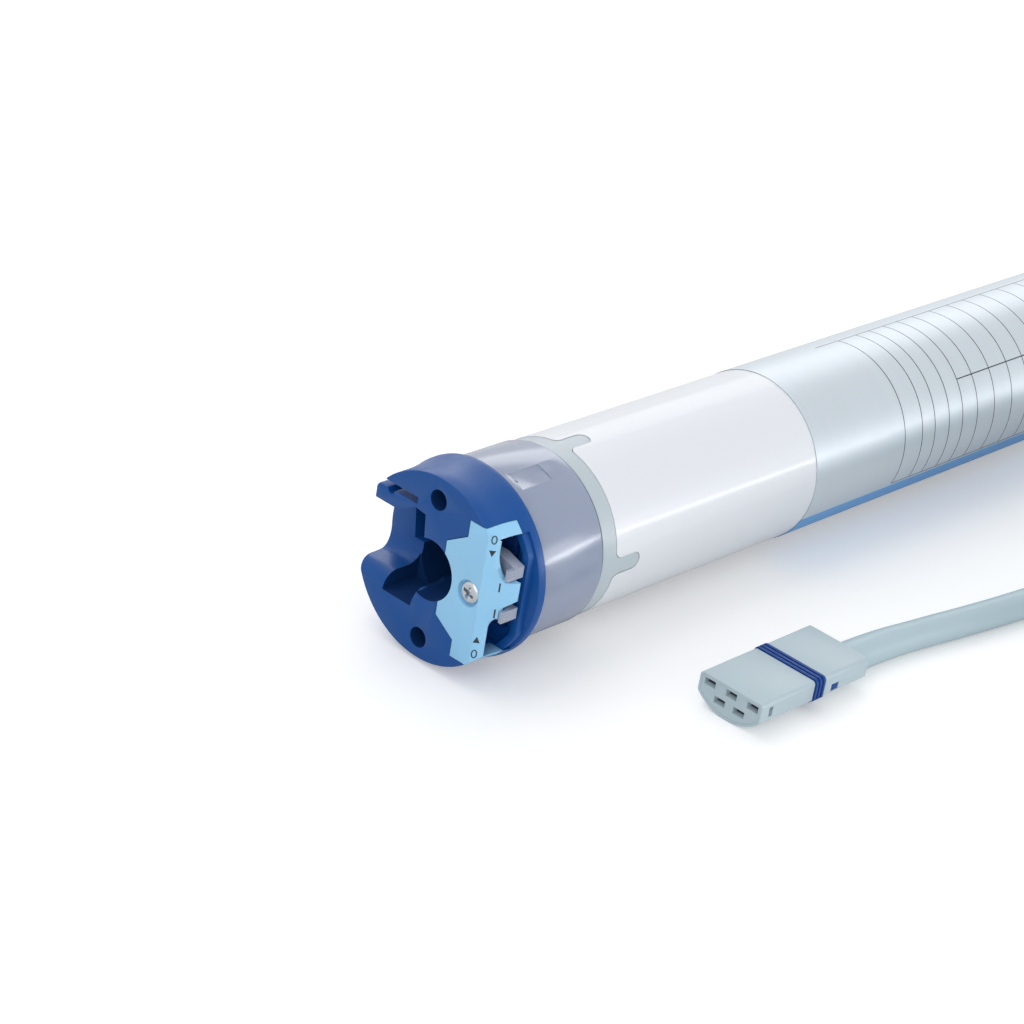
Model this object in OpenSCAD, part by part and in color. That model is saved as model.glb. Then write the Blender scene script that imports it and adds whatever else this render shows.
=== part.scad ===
// Tubular roller blind motor with its plug-in cable, every piece a separate solid.
// X runs along the motor axis from the head's front face to the output end, Z is up,
// and the origin is the middle of the head's face, between the two bracket screw holes.

/* [Tube] */
// Outer diameter of the motor tube
tube_d = 35; // [34.6:0.2:38]
// Wall thickness of the motor tube
tube_wall = 1; // [0.8:0.1:1.2]
// Length of the motor tube
tube_len = 396; // [380:1:480]
// Width of the slots in the tube's front edge
key_w = 3.6; // [2.8:0.1:4.6]
// Length of the slots from the tube's front edge
key_len = 6.8; // [5:0.2:9]
// Rounding at the mouth of each slot
key_mouth_r = 1.5; // [0.8:0.1:2]
// Turn of the slots about the axis
key_turn = 1.2; // [0:0.2:6]

/* [Head] */
// Diameter of the head at its face
head_d = 36.8; // [36.4:0.1:37.6]
// Length from the face to the rear of the rim
head_len = 10.8; // [10.6:0.1:12]
// Diameter of the rim that stops the winding tube
rim_d = 38.2; // [37.8:0.1:42]
// Thickness of the rim's edge
rim_t = 1.1; // [0.8:0.1:1.4]
// Diameter of the neck that carries the running ring
neck_d = 29.6; // [29.2:0.1:29.9]
// Diameter of the socket for the bracket's pin
pin_bore_d = 12; // [11:0.2:12.6]
// Depth of the socket for the bracket's pin
pin_bore_depth = 24; // [12:1:30]
// Distance between the two bracket screw holes
screw_spacing = 28.4; // [26.6:0.2:28.6]
// Diameter of the bracket screw holes
screw_hole_d = 4; // [3:0.1:4.2]
// Depth of the bracket screw holes
screw_hole_depth = 9; // [6:0.5:9.5]

/* [Cable channel] */
// Depth of the channel that leads the cable out
channel_depth = 9.6; // [9.4:0.1:9.7]
// Lower edge of the channel
channel_low = -5.8; // [-6.6:0.2:-4.4]
// Upper edge of the channel, under the retaining bar
channel_high = 8; // [7.6:0.1:8.4]
// Distance of the channel's inner wall from the axis plane
channel_wall_y = 2.1; // [1.6:0.1:3]
// Radius of the fillet at the back of the channel's floor
saddle_r = 3.6; // [3:0.2:5.4]
// Radius of the horn that the channel's floor runs over
horn_r = 3.25; // [2:0.25:4]
// Height of the retaining bar
bar_h = 3.1; // [2.7:0.1:3.3]
// Thickness of the retaining bar
bar_t = 7; // [3:0.2:8]
// Width of the slot above the retaining bar
bar_slot = 1.4; // [1:0.1:1.8]

/* [Switch panel] */
// Thickness of the panel's face plate
panel_t = 1.6; // [1.2:0.1:1.8]
// Half height of the panel
panel_top = 13.9; // [13.6:0.1:14.2]
// Thickness of the panel's two arms
arm_w = 1.8; // [1.6:0.1:2.2]
// Length of the panel's two arms
arm_len = 7.4; // [6:0.2:8]
// Distance of the fold from the axis plane
fold_y = 12.9; // [12.8:0.05:13]
// Height of the switch's middle above the axis
switch_mid_z = 1.3; // [0.8:0.1:1.4]
// Half height of the block between the two windows
block_half = 2.75; // [2.5:0.05:2.8]
// Diameter of the panel screw's head
panel_screw_head_d = 4.4; // [3.6:0.2:5]
// Diameter of the panel screw's thread
panel_screw_d = 2.2; // [1.8:0.1:2.6]

/* [Limit sliders] */
// Travel of each limit slider from I to O
slider_travel = 4.1; // [3:0.1:4.1]
// Height of each slider's finger tab
slider_tab_h = 2.3; // [1.8:0.1:2.6]
// Reach of the finger tab from the axis plane
slider_reach = 16.5; // [16.2:0.1:17]

/* [Running ring] */
// Outer diameter of the running ring
ring_d = 35.6; // [35.4:0.2:38]
// Length of the running ring
ring_len = 16.7; // [14:0.1:19]
// Running clearance between the ring and the neck
ring_fit = 0.06; // [0.02:0.01:0.1]
// Length of the magnet band inside the ring
magnet_len = 5.6; // [4:0.2:6]

/* [Collar] */
// Length of the collar that shows between ring and tube
collar_len = 3.7; // [3:0.1:5]
// Length of the collar's spigot inside the tube
spigot_len = 14; // [11:0.5:18]
// Depth of the collar's surface below the tube's
collar_step = 0.15; // [0.05:0.05:0.3]

/* [Label] */
// Distance from the face to the label's edge
label_x = 91.4; // [60:0.2:140]
// Length of the label along the tube
label_len = 126; // [60:2:180]
// Thickness of the label
label_t = 0.1; // [0.05:0.05:0.2]
// Angle of the label's lower edge, from the side
label_low = -58; // [-80:2:-40]
// Angle that the label wraps round the tube
label_wrap = 232; // [180:2:300]

/* [Electronics] */
// Length of the circuit board
board_len = 58; // [54:1:64]
// Thickness of the circuit board
board_t = 1.6; // [1:0.2:2]
// Length of the motor capacitor
capacitor_len = 48; // [30:1:56]
// Diameter of the motor capacitor
capacitor_d = 29; // [24:0.5:30]

/* [Motor] */
// Diameter of the rotor
rotor_d = 18; // [16:0.2:18.4]
// Gap between rotor and stator
air_gap = 0.3; // [0.25:0.05:0.5]
// Diameter of the rotor shaft
shaft_d = 6; // [5.6:0.1:6.4]
// Outer diameter of the two ball bearings
bearing_d = 15; // [13:0.5:16]
// Width of the two ball bearings
bearing_w = 5; // [4:0.5:6]
// Number of stator slots
slot_count = 12; // [8:2:12]
// Overhang of the windings beyond the stack
overhang = 8; // [5:0.5:10]

/* [Brake] */
// Diameter of the brake disc
brake_d = 27; // [20:0.5:30]
// Travel of the brake disc when the brake is released
brake_travel = 0.5; // [0.3:0.1:0.6]
// Thickness of the brake lining
lining_t = 1.5; // [1:0.1:2]

/* [Gearbox] */
// Module of all gears
gear_module = 0.5; // [0.49:0.005:0.505]
// Width of the first stage's gears
stage_1_w = 11; // [8:0.5:12]
// Width of the second stage's gears
stage_2_w = 13; // [10:0.5:14]
// Width of the third stage's gears
stage_3_w = 17; // [14:0.5:18]
// Thickness of the planet carriers
carrier_t = 5; // [4:0.25:5.5]
// Diameter of the pins that carry the planets
planet_pin_d = 3.2; // [2.6:0.1:3.8]
// Play between gear flanks
backlash = 0.09; // [0.06:0.01:0.12]

/* [Output] */
// Length of the output shaft's shoulder between gearbox and end cap
shoulder_len = 39.35; // [36:0.05:44]
// Diameter of the output shaft in its bush
output_d = 12; // [10:0.5:13]
// Width across the output shaft's square end
square_w = 9; // [7:0.2:9]
// Length of the output shaft's square end
square_len = 20; // [14:0.5:24]
// Wall thickness of the output bush
bush_wall = 1.9; // [1.2:0.1:2.4]
// Thickness of the end cap's flange
cap_flange_t = 3; // [2:0.5:5]
// Diameter of the rivets that hold the tube's end
rivet_d = 3; // [2.4:0.2:3.6]
// Diameter of the drive wheel
wheel_d = 35.6; // [35:0.2:38]
// Length of the drive wheel
wheel_len = 18; // [12:0.5:19]
// Width of the drive wheel's seam groove
seam_w = 6; // [4:0.5:8]

/* [Connector] */
// Length of the connector
plug_len = 31.7; // [30.2:0.5:33.2]
// Width of the connector
plug_w = 14.8; // [14.4:0.1:15]
// Height of the connector
plug_h = 7; // [6.8:0.1:7.2]
// Height of the connector's straight sides
plug_side_h = 4; // [3.6:0.1:4.4]
// Distance from the connector's front to its seal
seal_x = 15.5; // [14:0.5:18]
// Length of the seal
seal_len = 3.3; // [3:0.1:4]

/* [Cable] */
// Diameter of the cable
cable_d = 6; // [6:0.05:6.05]
// Turns in each layer of the coil
turns = 3; // [2:1:4]
// Layers of the coil
layers = 4; // [2:2:4]
// Diameter of each insulated core
core_d = 2.2; // [1.8:0.1:2.4]

/* [Hidden] */
$fn = 64;

// General clearances
eps = 0.01;
seat_gap = 0.05;
free_gap = 0.3;
cut = 60;

// Radii of the tube and of the head
tube_r = tube_d / 2;
tube_in_r = tube_r - tube_wall;
seat_r = tube_in_r - seat_gap;
head_r = head_d / 2;
rim_r = rim_d / 2;
neck_r = neck_d / 2;
floor_z = -rim_r;

// Stations along the motor
ring_x0 = head_len + free_gap;
ring_x1 = ring_x0 + ring_len;
collar_x0 = ring_x1 + free_gap;
tube_x0 = collar_x0 + collar_len;
tube_x1 = tube_x0 + tube_len;
spigot_x1 = tube_x0 + spigot_len;
neck_x1 = spigot_x1;
neck_wall = 2.2;

// Socket for the connector in the head
plug_gap = 0.15;
socket_depth = neck_x1 - 8;
socket_w = plug_h + 2 * plug_gap;
socket_h = plug_w + 2 * plug_gap;
socket_mouth_x = 9;
socket_y0 = 3.05;
socket_z0 = -9.1;
socket_mid_z = socket_z0 + socket_h / 2;
neck_floor_x = socket_depth + 3;
neck_in_r = neck_r - neck_wall;

// Cable channel, horn and retaining bar
channel_corner = [2.55, 10.1];
bar_corner = [5.2, 10.4];
pocket_x1 = 12.4;
pocket_outline = [[channel_wall_y + 0.3, -2], [12.8, -2], [14.1, channel_high - 0.2],
                  [channel_wall_y + 0.3, channel_high - 0.2]];
bar_bend_y = 9.7;
bar_root_y = 4.9;
bar_tip_y = 15.2;
bar_z1 = channel_high + bar_h;
bar_notch_y = 11.6;
bar_notch_r = 0.9;

// Panel outline in the face plane, measured from the axis towards the viewer's right
panel_in = 3.4;
panel_step_z = 7.6;
panel_mid = 8.2;
panel_mid_z = 10.6;
panel_gap = 0.1;
window_top = panel_top - arm_w;
chamfer_end = 2.7;
block_chamfer = 4.5;
block_depth = 5.4;
chamber_y = 9;
chamber_x1 = 9;
scallop_y = 14.1;
scallop_dy = fold_y + chamfer_end - scallop_y;
high_scallop_dz = 5.5;
low_scallop_dz = 2.5;
low_window_z = 3.3;
wing_t = 1.1;
arm_y = 10.9;
boss_y0 = 8;
boss_y1 = 12.6;
ledge_y0 = 15;
ledge_w = 1.6;
ledge_h = 1.5;
ledge_r = 17;
ledge_bend_z = 8;
panel_screw_y = 10.15;
panel_screw_sink = 0.8;
panel_screw_len = 12;
panel_screw_seat_d = panel_screw_head_d + 0.8;

// Limit sliders
slider_z0 = block_half + 0.35;
slider_base_h = window_top - switch_mid_z - slider_z0 - slider_travel - seat_gap;
slider_base_y0 = 10;
slider_base_y1 = 12.4;
slider_base_x0 = panel_t + 0.4;
slider_neck_x0 = 4.4;
slider_x1 = 6.8;
slider_tab_x0 = 2.8;
slider_tab_y = 15.75;
slider_rib = 0.34;
switch_board_t = 1;
switch_board_x0 = chamber_x1 - switch_board_t;
slider_foot_x1 = switch_board_x0 - 0.2;
slider_ribs = 3;
switch_board_y = 13;
switch_board_half = 9.4;

// Contacts of the connector and of the socket, measured across and down from one corner
contact_rows = [[2.3, 1.7], [plug_w / 2, 1.7], [plug_w - 2.3, 1.7], [5.1, 4.3], [plug_w - 5.1, 4.3]];
contact_slot = [2.6, 1.4];
pin_w = 1.6;
pin_t = 0.7;
pin_reach = 8;
pin_tail = 6;

// Sensor pocket and board in the neck
sensor_y0 = 8.6;
sensor_y1 = 12.5;
sensor_half = 4.8;
sensor_x0 = ring_x1 - 7;
sensor_t = 1;

// Running ring and its magnet band
ring_r = ring_d / 2;
ring_in_r = neck_r + ring_fit;
magnet_r1 = ring_in_r + 1.8;
magnet_r0 = ring_in_r + 0.3;
mark_angle = 72;
mark_w = 4.2;
mark_len = 7.9;
mark_depth = 0.3;
mark_x = ring_x0 + 2.6;

// Glue under the label, and the turn of the tube's seam
glue_t = 0.05;
tube_seam_turn = 22;

// Collar and its keys
collar_r = tube_r - collar_step;
key_gap = 0.12;
key_count = 4;
key_mouth_cut = 0.1;

// Electronics
carrier_x0 = spigot_x1 + pin_tail + 1;
board_end_room = 3;
carrier_len = board_len + 2 * board_end_room;
carrier_wall = 1.2;
carrier_end_t = 2;
board_z = 2;
board_x0 = carrier_x0 + board_end_room;
carrier_r = seat_r;
board_half = sqrt(pow(carrier_r - carrier_wall, 2) - pow(board_z + board_t, 2)) - 0.1;
capacitor_x0 = carrier_x0 + carrier_len + 3;
pad_len = 5;

// Motor unit
motor_x0 = capacitor_x0 + capacitor_len + 5;
bell_t = bearing_w;
bell_room = 4;
stack_x0 = motor_x0 + bell_t + overhang + bell_room;
bell_skirt = 0.8;
rotor_r = rotor_d / 2;
bore_r = rotor_r + air_gap;
shaft_r = shaft_d / 2;
shaft_fit = 0.03;
bearing_r = bearing_d / 2;
slot_w = 3;
slot_r0 = bore_r + 1;
slot_r1 = seat_r - 2.3;
slot_mouth = 1.2;
winding_gap = 0.1;

// Gears
sun_teeth = 12;
planet_teeth = 21;
ring_teeth = 54;
pressure_angle = 25;
addendum = 0.8 * gear_module;
dedendum = 1.05 * gear_module;
planet_orbit = gear_module * (sun_teeth + planet_teeth) / 2;
ring_root_r = gear_module * ring_teeth / 2 + gear_module;
ring_tip_r = gear_module * ring_teeth / 2 - addendum;
pinion_bore_r = 1.5;
pinion_fit = 0.02;
planet_fit = 0.05;
gear_gap = 0.6;
planet_pin_r = planet_pin_d / 2;
gearbox_entry = 6;
shoulder_gap = 0.5;
cap_len = 26;
cap_x0 = tube_x1 - cap_len;
train_len = gearbox_entry + stage_1_w + stage_2_w + stage_3_w + 3 * carrier_t + 7 * gear_gap;
gearbox_x0 = cap_x0 - shoulder_gap - shoulder_len - train_len;
planet_1_x0 = gearbox_x0 + gearbox_entry;
planet_1_x1 = planet_1_x0 + stage_1_w;
carrier_1_x0 = planet_1_x1 + gear_gap;
carrier_1_x1 = carrier_1_x0 + carrier_t;
planet_2_x0 = carrier_1_x1 + 2 * gear_gap;
planet_2_x1 = planet_2_x0 + stage_2_w;
carrier_2_x0 = planet_2_x1 + gear_gap;
carrier_2_x1 = carrier_2_x0 + carrier_t;
planet_3_x0 = carrier_2_x1 + 2 * gear_gap;
planet_3_x1 = planet_3_x0 + stage_3_w;
carrier_3_x0 = planet_3_x1 + gear_gap;
carrier_3_x1 = carrier_3_x0 + carrier_t;
carrier_r_out = ring_tip_r - 0.5;

// Brake, placed back from the gearbox
hub_r = 6;
hub_len = 8;
brake_disc_t = 3.4;
brake_plate_t = 5;
spring_len = 2.8;
spring_gap = 1;
brake_stop_gap = 0.1;
brake_plate_x0 = gearbox_x0 - brake_plate_t;
lining_x0 = brake_plate_x0 - lining_t;
brake_disc_x1 = lining_x0 - seat_gap;
brake_disc_x0 = brake_disc_x1 - brake_disc_t;
hub_x0 = brake_disc_x1 - hub_len;
spring_x0 = hub_x0 - brake_stop_gap - brake_travel - spring_len;
flat_z = shaft_r - 0.5;

// Stator stack, which takes the length that is left
front_bell_x1 = spring_x0 - spring_gap;
front_bell_x0 = front_bell_x1 - bell_t;
stack_x1 = front_bell_x0 - bell_room - overhang;

// Output end
output_r = output_d / 2;
output_fit = 0.06;
bush_x0 = cap_x0 + 3;
cap_x1 = tube_x1 + cap_flange_t;
spigot_w = 7;
collar_out_r = output_r + 4;
square_x0 = cap_x1 + 1;
square_x1 = square_x0 + square_len;
wheel_x0 = square_x0 + 1;
wheel_x1 = wheel_x0 + wheel_len;
wheel_r = wheel_d / 2;
wheel_rim = 2.6;
wheel_hub_r = square_w / 2 * sqrt(2) + 2.2;
wheel_web_t = 6;
wheel_spokes = 6;
spoke_w = 2.4;
seam_depth = 1.2;
rivet_x = tube_x1 - 14;
rivet_count = 4;
rivet_head = 0.3;
rivet_depth = 4;
wheel_screw_d = 4;
wheel_screw_len = 12;
washer_r = square_w / 2 + 3;
washer_t = 1.2;
screw_head_r = 3.6;
screw_head_h = 2.4;

// Connector, lying on the floor beside the motor
plug_x = 34.4;
plug_y = -46.6;
plug_z1 = floor_z + plug_h;
plug_edge_r = 0.8;
plug_arc_h = plug_h - plug_side_h;
plug_arc_r = (plug_w * plug_w / 4 + plug_arc_h * plug_arc_h) / (2 * plug_arc_h);
plug_lip_w = 0.45;
plug_lip = 0.25;
plug_slot_depth = 14;
seal_sink = 0.8;
seal_ridges = 3;
seal_base = 0.15;
tab_x = plug_x + seal_x + seal_len + 2.2;
tab_size = [2.2, 0.6, 1.5];
tab_z = floor_z + plug_arc_h + 0.15;
side_slot_x = plug_x + 2.4;
side_slot = [1.1, 1.2, 2];

// Cable route, centre line: from the connector along the floor to the coil
cable_r = cable_d / 2;
cable_z = floor_z + cable_r;
exit_y = -47.8;
lead_route = [
  [plug_x + plug_len, exit_y], [72, -47.9], [80, -48.5], [90, -49.9], [101, -51.7], [112, -53.3],
  [123, -54.5], [134, -54.9], [145, -54.6], [157, -53.9], [168, -53.5], [174, -53.5]
];
coil_x = 180;
coil_r_in = 27.5;
coil_step = 6.45;
coil_r_out = coil_r_in + turns * coil_step;
coil_y = lead_route[len(lead_route) - 1][1] - coil_r_out;
coil_sides = 6;
coil_rings = 24;
lead_sides = 10;
coil_top_z = cable_z + (layers - 1) * coil_step;
// Tail: from the top of the coil down to the floor, with heights above the cable's own level
tail_route = [
  [186, -53.5, 1], [196, -53.2, 0.96], [207, -52.8, 0.76], [218, -52.8, 0.46],
  [229, -53.4, 0.18], [240, -54.4, 0.03], [251, -55.7, 0], [262, -57.2, 0]
];
tail_end = tail_route[len(tail_route) - 1];
core_sides = 8;
core_r = core_d / 2;
core_z = floor_z + core_r;
core_reach = 30;
ferrule_r = 0.9;
ferrule_len = 8;

// Turns an outline drawn in Y and Z into a slab along X
module along_x(x0, x1) {
  translate([x0, 0, 0]) rotate([90, 0, 90]) linear_extrude(x1 - x0) children();
}

// Rod about the motor axis
module rod(x0, x1, r) {
  translate([x0, 0, 0]) rotate([0, 90, 0]) cylinder(h = x1 - x0, r = r);
}

// Tube about the motor axis
module sleeve(x0, x1, r1, r0) {
  difference() {
    rod(x0, x1, r1);
    rod(x0 - 1, x1 + 1, r0);
  }
}

// Turned shape about the motor axis from [radius, x] points
module turned(points) {
  rotate([0, 90, 0]) rotate([0, 0, 90]) rotate_extrude($fn = 96) polygon(points);
}

// Block between two corners
module block(low, high) {
  translate(low) cube(high - low);
}

// Points of an arc, centre, radius, first and last angle
function arc(c, r, a0, a1, n) =
  [for (i = [0 : n]) let(a = a0 + (a1 - a0) * i / n) [c[0] + r * cos(a), c[1] + r * sin(a)]];

// Head

// The panel's outline, [y, z], grown by g
module panel_outline(g) {
  difference() {
    intersection() {
      circle(r = head_r + g);
      polygon([
        [-panel_in + g, -panel_step_z - g], [-panel_in + g, panel_step_z + g],
        [-panel_mid + g, panel_mid_z + g], [-panel_mid + g, panel_top + g],
        [-cut, panel_top + g], [-cut, -panel_top - g],
        [-panel_mid + g, -panel_top - g], [-panel_mid + g, -panel_mid_z - g]
      ]);
    }
    circle(r = pin_bore_d / 2);
  }
}

// Outline of the panel's two arms, grown by g
module arm_outline(g) {
  for (side = [-1, 1])
    translate([-cut / 2 - arm_y + g, side * (panel_top - arm_w / 2)])
      square([cut, arm_w + 2 * g], center = true);
}

module head_barrel() {
  edge = 0.4;
  lip = 0.15;
  foot_x = 3;
  rim_x = head_len - rim_t;
  turned(concat(
    [[0, 0], [head_r - edge, 0]],
    arc([head_r - edge, edge], edge, -90, 0, 4),
    [for (f = [0 : 0.2 : 1]) [head_r + (rim_r - head_r) * f * f, foot_x + (rim_x - foot_x) * f]],
    [[rim_r, head_len - lip], [rim_r - lip, head_len]],
    [[neck_r, head_len], [neck_r, neck_x1 - 0.5], [neck_r - 0.5, neck_x1], [0, neck_x1]]
  ));
}

// Channel: its saddle, drawn in [x, z], within its outline on the face, drawn in [y, z]
module channel_cut() {
  saddle = concat(
    [[-1, cut], [channel_depth, cut], [channel_depth, channel_low + saddle_r]],
    arc([channel_depth - saddle_r, channel_low + saddle_r], saddle_r, 0, -90, 10),
    arc([horn_r, channel_low - horn_r], horn_r, 90, 180, 10),
    [[-1, channel_low - horn_r]]
  );
  intersection() {
    mirror([0, 1, 0]) rotate([90, 0, 0]) linear_extrude(cut) polygon(saddle);
    along_x(-1, channel_depth) polygon([
      [channel_wall_y, -cut], [channel_wall_y, pin_bore_d / 2], channel_corner, bar_corner,
      [bar_bend_y, channel_high], [cut, channel_high], [cut, -cut]
    ]);
  }
}

// Retaining bar, a finger that starts above the channel's corner
module retaining_bar() {
  difference() {
    intersection() {
      along_x(0, bar_t) polygon([
        channel_corner + [1, 0.2], bar_corner, [bar_bend_y, channel_high],
        [bar_tip_y, channel_high], [bar_tip_y, bar_z1], [channel_corner[0] + 1, bar_z1]
      ]);
      rod(0, bar_t, head_r);
    }
    translate([-1, bar_notch_y, bar_z1]) rotate([0, 90, 0]) cylinder(h = bar_t + 2, r = bar_notch_r);
  }
}

// Ledge in front of the chamber's back wall, which bends with the barrel at both ends
module chamber_ledge() {
  x0 = chamber_x1 - ledge_h;
  intersection() {
    union() {
      block([x0, -ledge_y0 - ledge_w, -ledge_bend_z], [chamber_x1 + 1, -ledge_y0, ledge_bend_z]);
      difference() {
        sleeve(x0, chamber_x1 + 1, ledge_r + ledge_w, ledge_r);
        block([x0 - 1, -cut, -ledge_bend_z], [chamber_x1 + 2, cut, ledge_bend_z]);
      }
    }
    rod(0, head_len, head_r);
  }
}

module motor_head() color("#2D5FA5") {
  difference() {
    union() {
      difference() {
        head_barrel();
        channel_cut();
        // Deeper pocket in the channel's floor, in front of the socket
        along_x(channel_depth - 1, pocket_x1) polygon(pocket_outline);
        // Space round the retaining bar
        block([-1, bar_root_y, channel_high - 1], [channel_depth, cut, bar_z1 + bar_slot]);
      }
      retaining_bar();
    }
    // Socket for the connector
    block([-1, socket_y0, socket_z0], [socket_mouth_x, socket_y0 + socket_w, socket_z0 + socket_h]);
    along_x(socket_mouth_x - 1, socket_depth)
      translate([socket_y0 + plug_gap + plug_h, socket_mid_z]) rotate(90) plug_outline(plug_gap);
    // Socket for the bracket's pin
    rod(-1, pin_bore_depth, pin_bore_d / 2);
    // Bracket screw holes
    for (side = [-1, 1])
      translate([0, 0, side * screw_spacing / 2]) rod(-1, screw_hole_depth, screw_hole_d / 2);
    // Seat of the switch panel and room for the sliders
    along_x(-1, panel_t + seat_gap) panel_outline(panel_gap);
    along_x(-1, arm_len + panel_gap) arm_outline(panel_gap);
    difference() {
      block([panel_t, -cut, -window_top - panel_gap], [chamber_x1, -chamber_y, window_top + panel_gap]);
      block([block_depth + seat_gap, -boss_y1, switch_mid_z - block_half],
            [chamber_x1 + 1, -boss_y0, switch_mid_z + block_half]);
      chamber_ledge();
    }
    translate([0, -panel_screw_y, 0]) rod(0, panel_screw_len + 2, panel_screw_d / 2 + seat_gap);
    // Hollow end of the neck, with passages for the pins and the sensor board
    rod(neck_floor_x, neck_x1 + 1, neck_in_r);
    for (c = contact_rows)
      translate([0, socket_y0 + plug_gap + c[1], socket_z0 + plug_gap + c[0]])
        block([socket_depth - 1, -pin_t / 2 - seat_gap, -pin_w / 2 - seat_gap],
              [neck_x1, pin_t / 2 + seat_gap, pin_w / 2 + seat_gap]);
    block([sensor_x0, -sensor_y1, -sensor_half], [neck_x1 + 1, -sensor_y0, sensor_half]);
  }
}

// Bent plate that carries the printed chamfer, drawn in [x, y]
module panel_fold() {
  polygon([
    [0, 0], [0, -fold_y], [chamfer_end, -fold_y - chamfer_end],
    [chamfer_end + wing_t, -fold_y - chamfer_end], [panel_t, -fold_y + wing_t - panel_t], [panel_t, 0]
  ]);
}

module panel_block() {
  polygon([
    [0, -chamber_y - seat_gap], [0, -fold_y], [block_chamfer, -fold_y - block_chamfer],
    [block_depth, -fold_y - block_chamfer], [block_depth, -chamber_y - seat_gap]
  ]);
}

// Window above z, with a scallop dz high
module window_cut(z, dz) {
  r = (scallop_dy * scallop_dy + dz * dz) / (2 * scallop_dy);
  intersection() {
    translate([-1, -scallop_y - r, z + dz]) rod(0, cut, r);
    block([-1, -cut, z + eps], [cut, 0, z + dz]);
  }
  block([-1, -cut, z + dz - eps], [cut, -scallop_y, window_top]);
}

// Front of the block with the sloped underside of its outer end, drawn in [y, z]
module block_front() {
  y1 = -fold_y - chamfer_end;
  z0 = switch_mid_z - block_half;
  polygon([
    [0, z0], [y1, z0], [y1 - block_half, z0 + block_half],
    [y1 - block_half, z0 + 2 * block_half], [0, z0 + 2 * block_half]
  ]);
}

module switch_panel() color("#93CBEE") {
  difference() {
    union() {
      intersection() {
        along_x(-1, chamfer_end + wing_t) panel_outline(0);
        translate([0, 0, -panel_top]) linear_extrude(2 * panel_top) panel_fold();
      }
      intersection() {
        translate([0, 0, switch_mid_z - block_half]) linear_extrude(2 * block_half) panel_block();
        along_x(0, block_depth) block_front();
      }
      difference() {
        intersection() {
          along_x(0, arm_len) arm_outline(0);
          head_barrel();
        }
        translate([0, -fold_y, 0]) rotate([0, 0, 45]) block([-cut, -cut, -cut], [0, cut, cut]);
      }
    }
    // Windows for the sliders, scalloped beside the block and straight beyond
    window_cut(switch_mid_z + block_half, high_scallop_dz);
    mirror([0, 0, 1]) window_cut(low_window_z, low_scallop_dz);
    translate([0, -panel_screw_y, 0]) {
      rod(-1, panel_screw_sink, panel_screw_seat_d / 2);
      rod(-1, cut, panel_screw_d / 2 + 0.1);
    }
  }
}

module panel_screw() color("#C9CDD2") {
  head_h = 1.5;
  top_x = 0.15;
  cross_w = 0.7;
  cross_len = 2.6;
  cross_depth = 0.9;
  translate([0, -panel_screw_y, 0])
    difference() {
      union() {
        turned([[0, top_x], [panel_screw_head_d / 2 - 0.5, top_x], [panel_screw_head_d / 2, top_x + 0.35],
                [panel_screw_head_d / 2, panel_screw_sink], [0, panel_screw_sink]]);
        rod(panel_screw_sink - 0.1, panel_screw_len, panel_screw_d / 2);
      }
      for (turn = [0, 90])
        rotate([turn + 20, 0, 0])
          block([top_x - 1, -cross_w / 2, -cross_len / 2], [top_x + cross_depth, cross_w / 2, cross_len / 2]);
    }
}

// Slider above the block, at I
module limit_slider() {
  z0 = switch_mid_z + slider_z0;
  z1 = z0 + slider_tab_h;
  z2 = z0 + slider_base_h;
  block([slider_base_x0, -slider_base_y1, z0], [slider_x1, -slider_base_y0, z2]);
  block([slider_x1 - 1, -slider_base_y1, z0], [slider_foot_x1, -slider_base_y0, z1]);
  // Wedge from the base to the tab
  translate([slider_neck_x0, 0, 0]) rotate([90, 0, 90])
    linear_extrude(slider_x1 - slider_neck_x0)
      polygon([[-slider_base_y1 + 1, z0], [-slider_base_y1 + 1, z2], [-slider_base_y1, z2],
               [-slider_reach, z1], [-slider_reach, z0]]);
  difference() {
    block([slider_tab_x0, -slider_reach, z0], [slider_x1, -slider_tab_y, z1]);
    for (i = [1 : slider_ribs])
      translate([slider_tab_x0 - 1, -slider_reach, z0 + slider_tab_h * i / (slider_ribs + 1)])
        rotate([45, 0, 0]) cube([slider_x1, slider_rib, slider_rib]);
  }
}

module upper_limit_slider() color("#9AA2B4") limit_slider();

module lower_limit_slider() color("#9AA2B4")
  translate([0, 0, 2 * switch_mid_z]) mirror([0, 0, 1]) limit_slider();

module switch_board() color("#123F7C") {
  difference() {
    block([switch_board_x0, -switch_board_y, switch_mid_z - switch_board_half],
          [chamber_x1, -chamber_y - 0.2, switch_mid_z + switch_board_half]);
    block([switch_board_x0 - 1, -boss_y1 - 0.2, switch_mid_z - block_half - 0.2],
          [chamber_x1 + 1, 0, switch_mid_z + block_half + 0.2]);
  }
}

module socket_pins() color("#D9B45A") {
  for (c = contact_rows)
    translate([0, socket_y0 + plug_gap + c[1], socket_z0 + plug_gap + c[0]])
      block([socket_depth - pin_reach, -pin_t / 2, -pin_w / 2], [neck_x1 + pin_tail, pin_t / 2, pin_w / 2]);
}

module sensor_board() color("#2F6B4A") {
  y0 = sensor_y0 + 0.9;
  block([sensor_x0 + 0.4, -y0 - sensor_t, -sensor_half + 0.3], [neck_x1 + pin_tail, -y0, sensor_half - 0.3]);
  block([sensor_x0 + 1.5, -y0 - sensor_t - 1.4, -2], [sensor_x0 + 5, -y0 - sensor_t, 2]);
}

// Running ring

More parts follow.
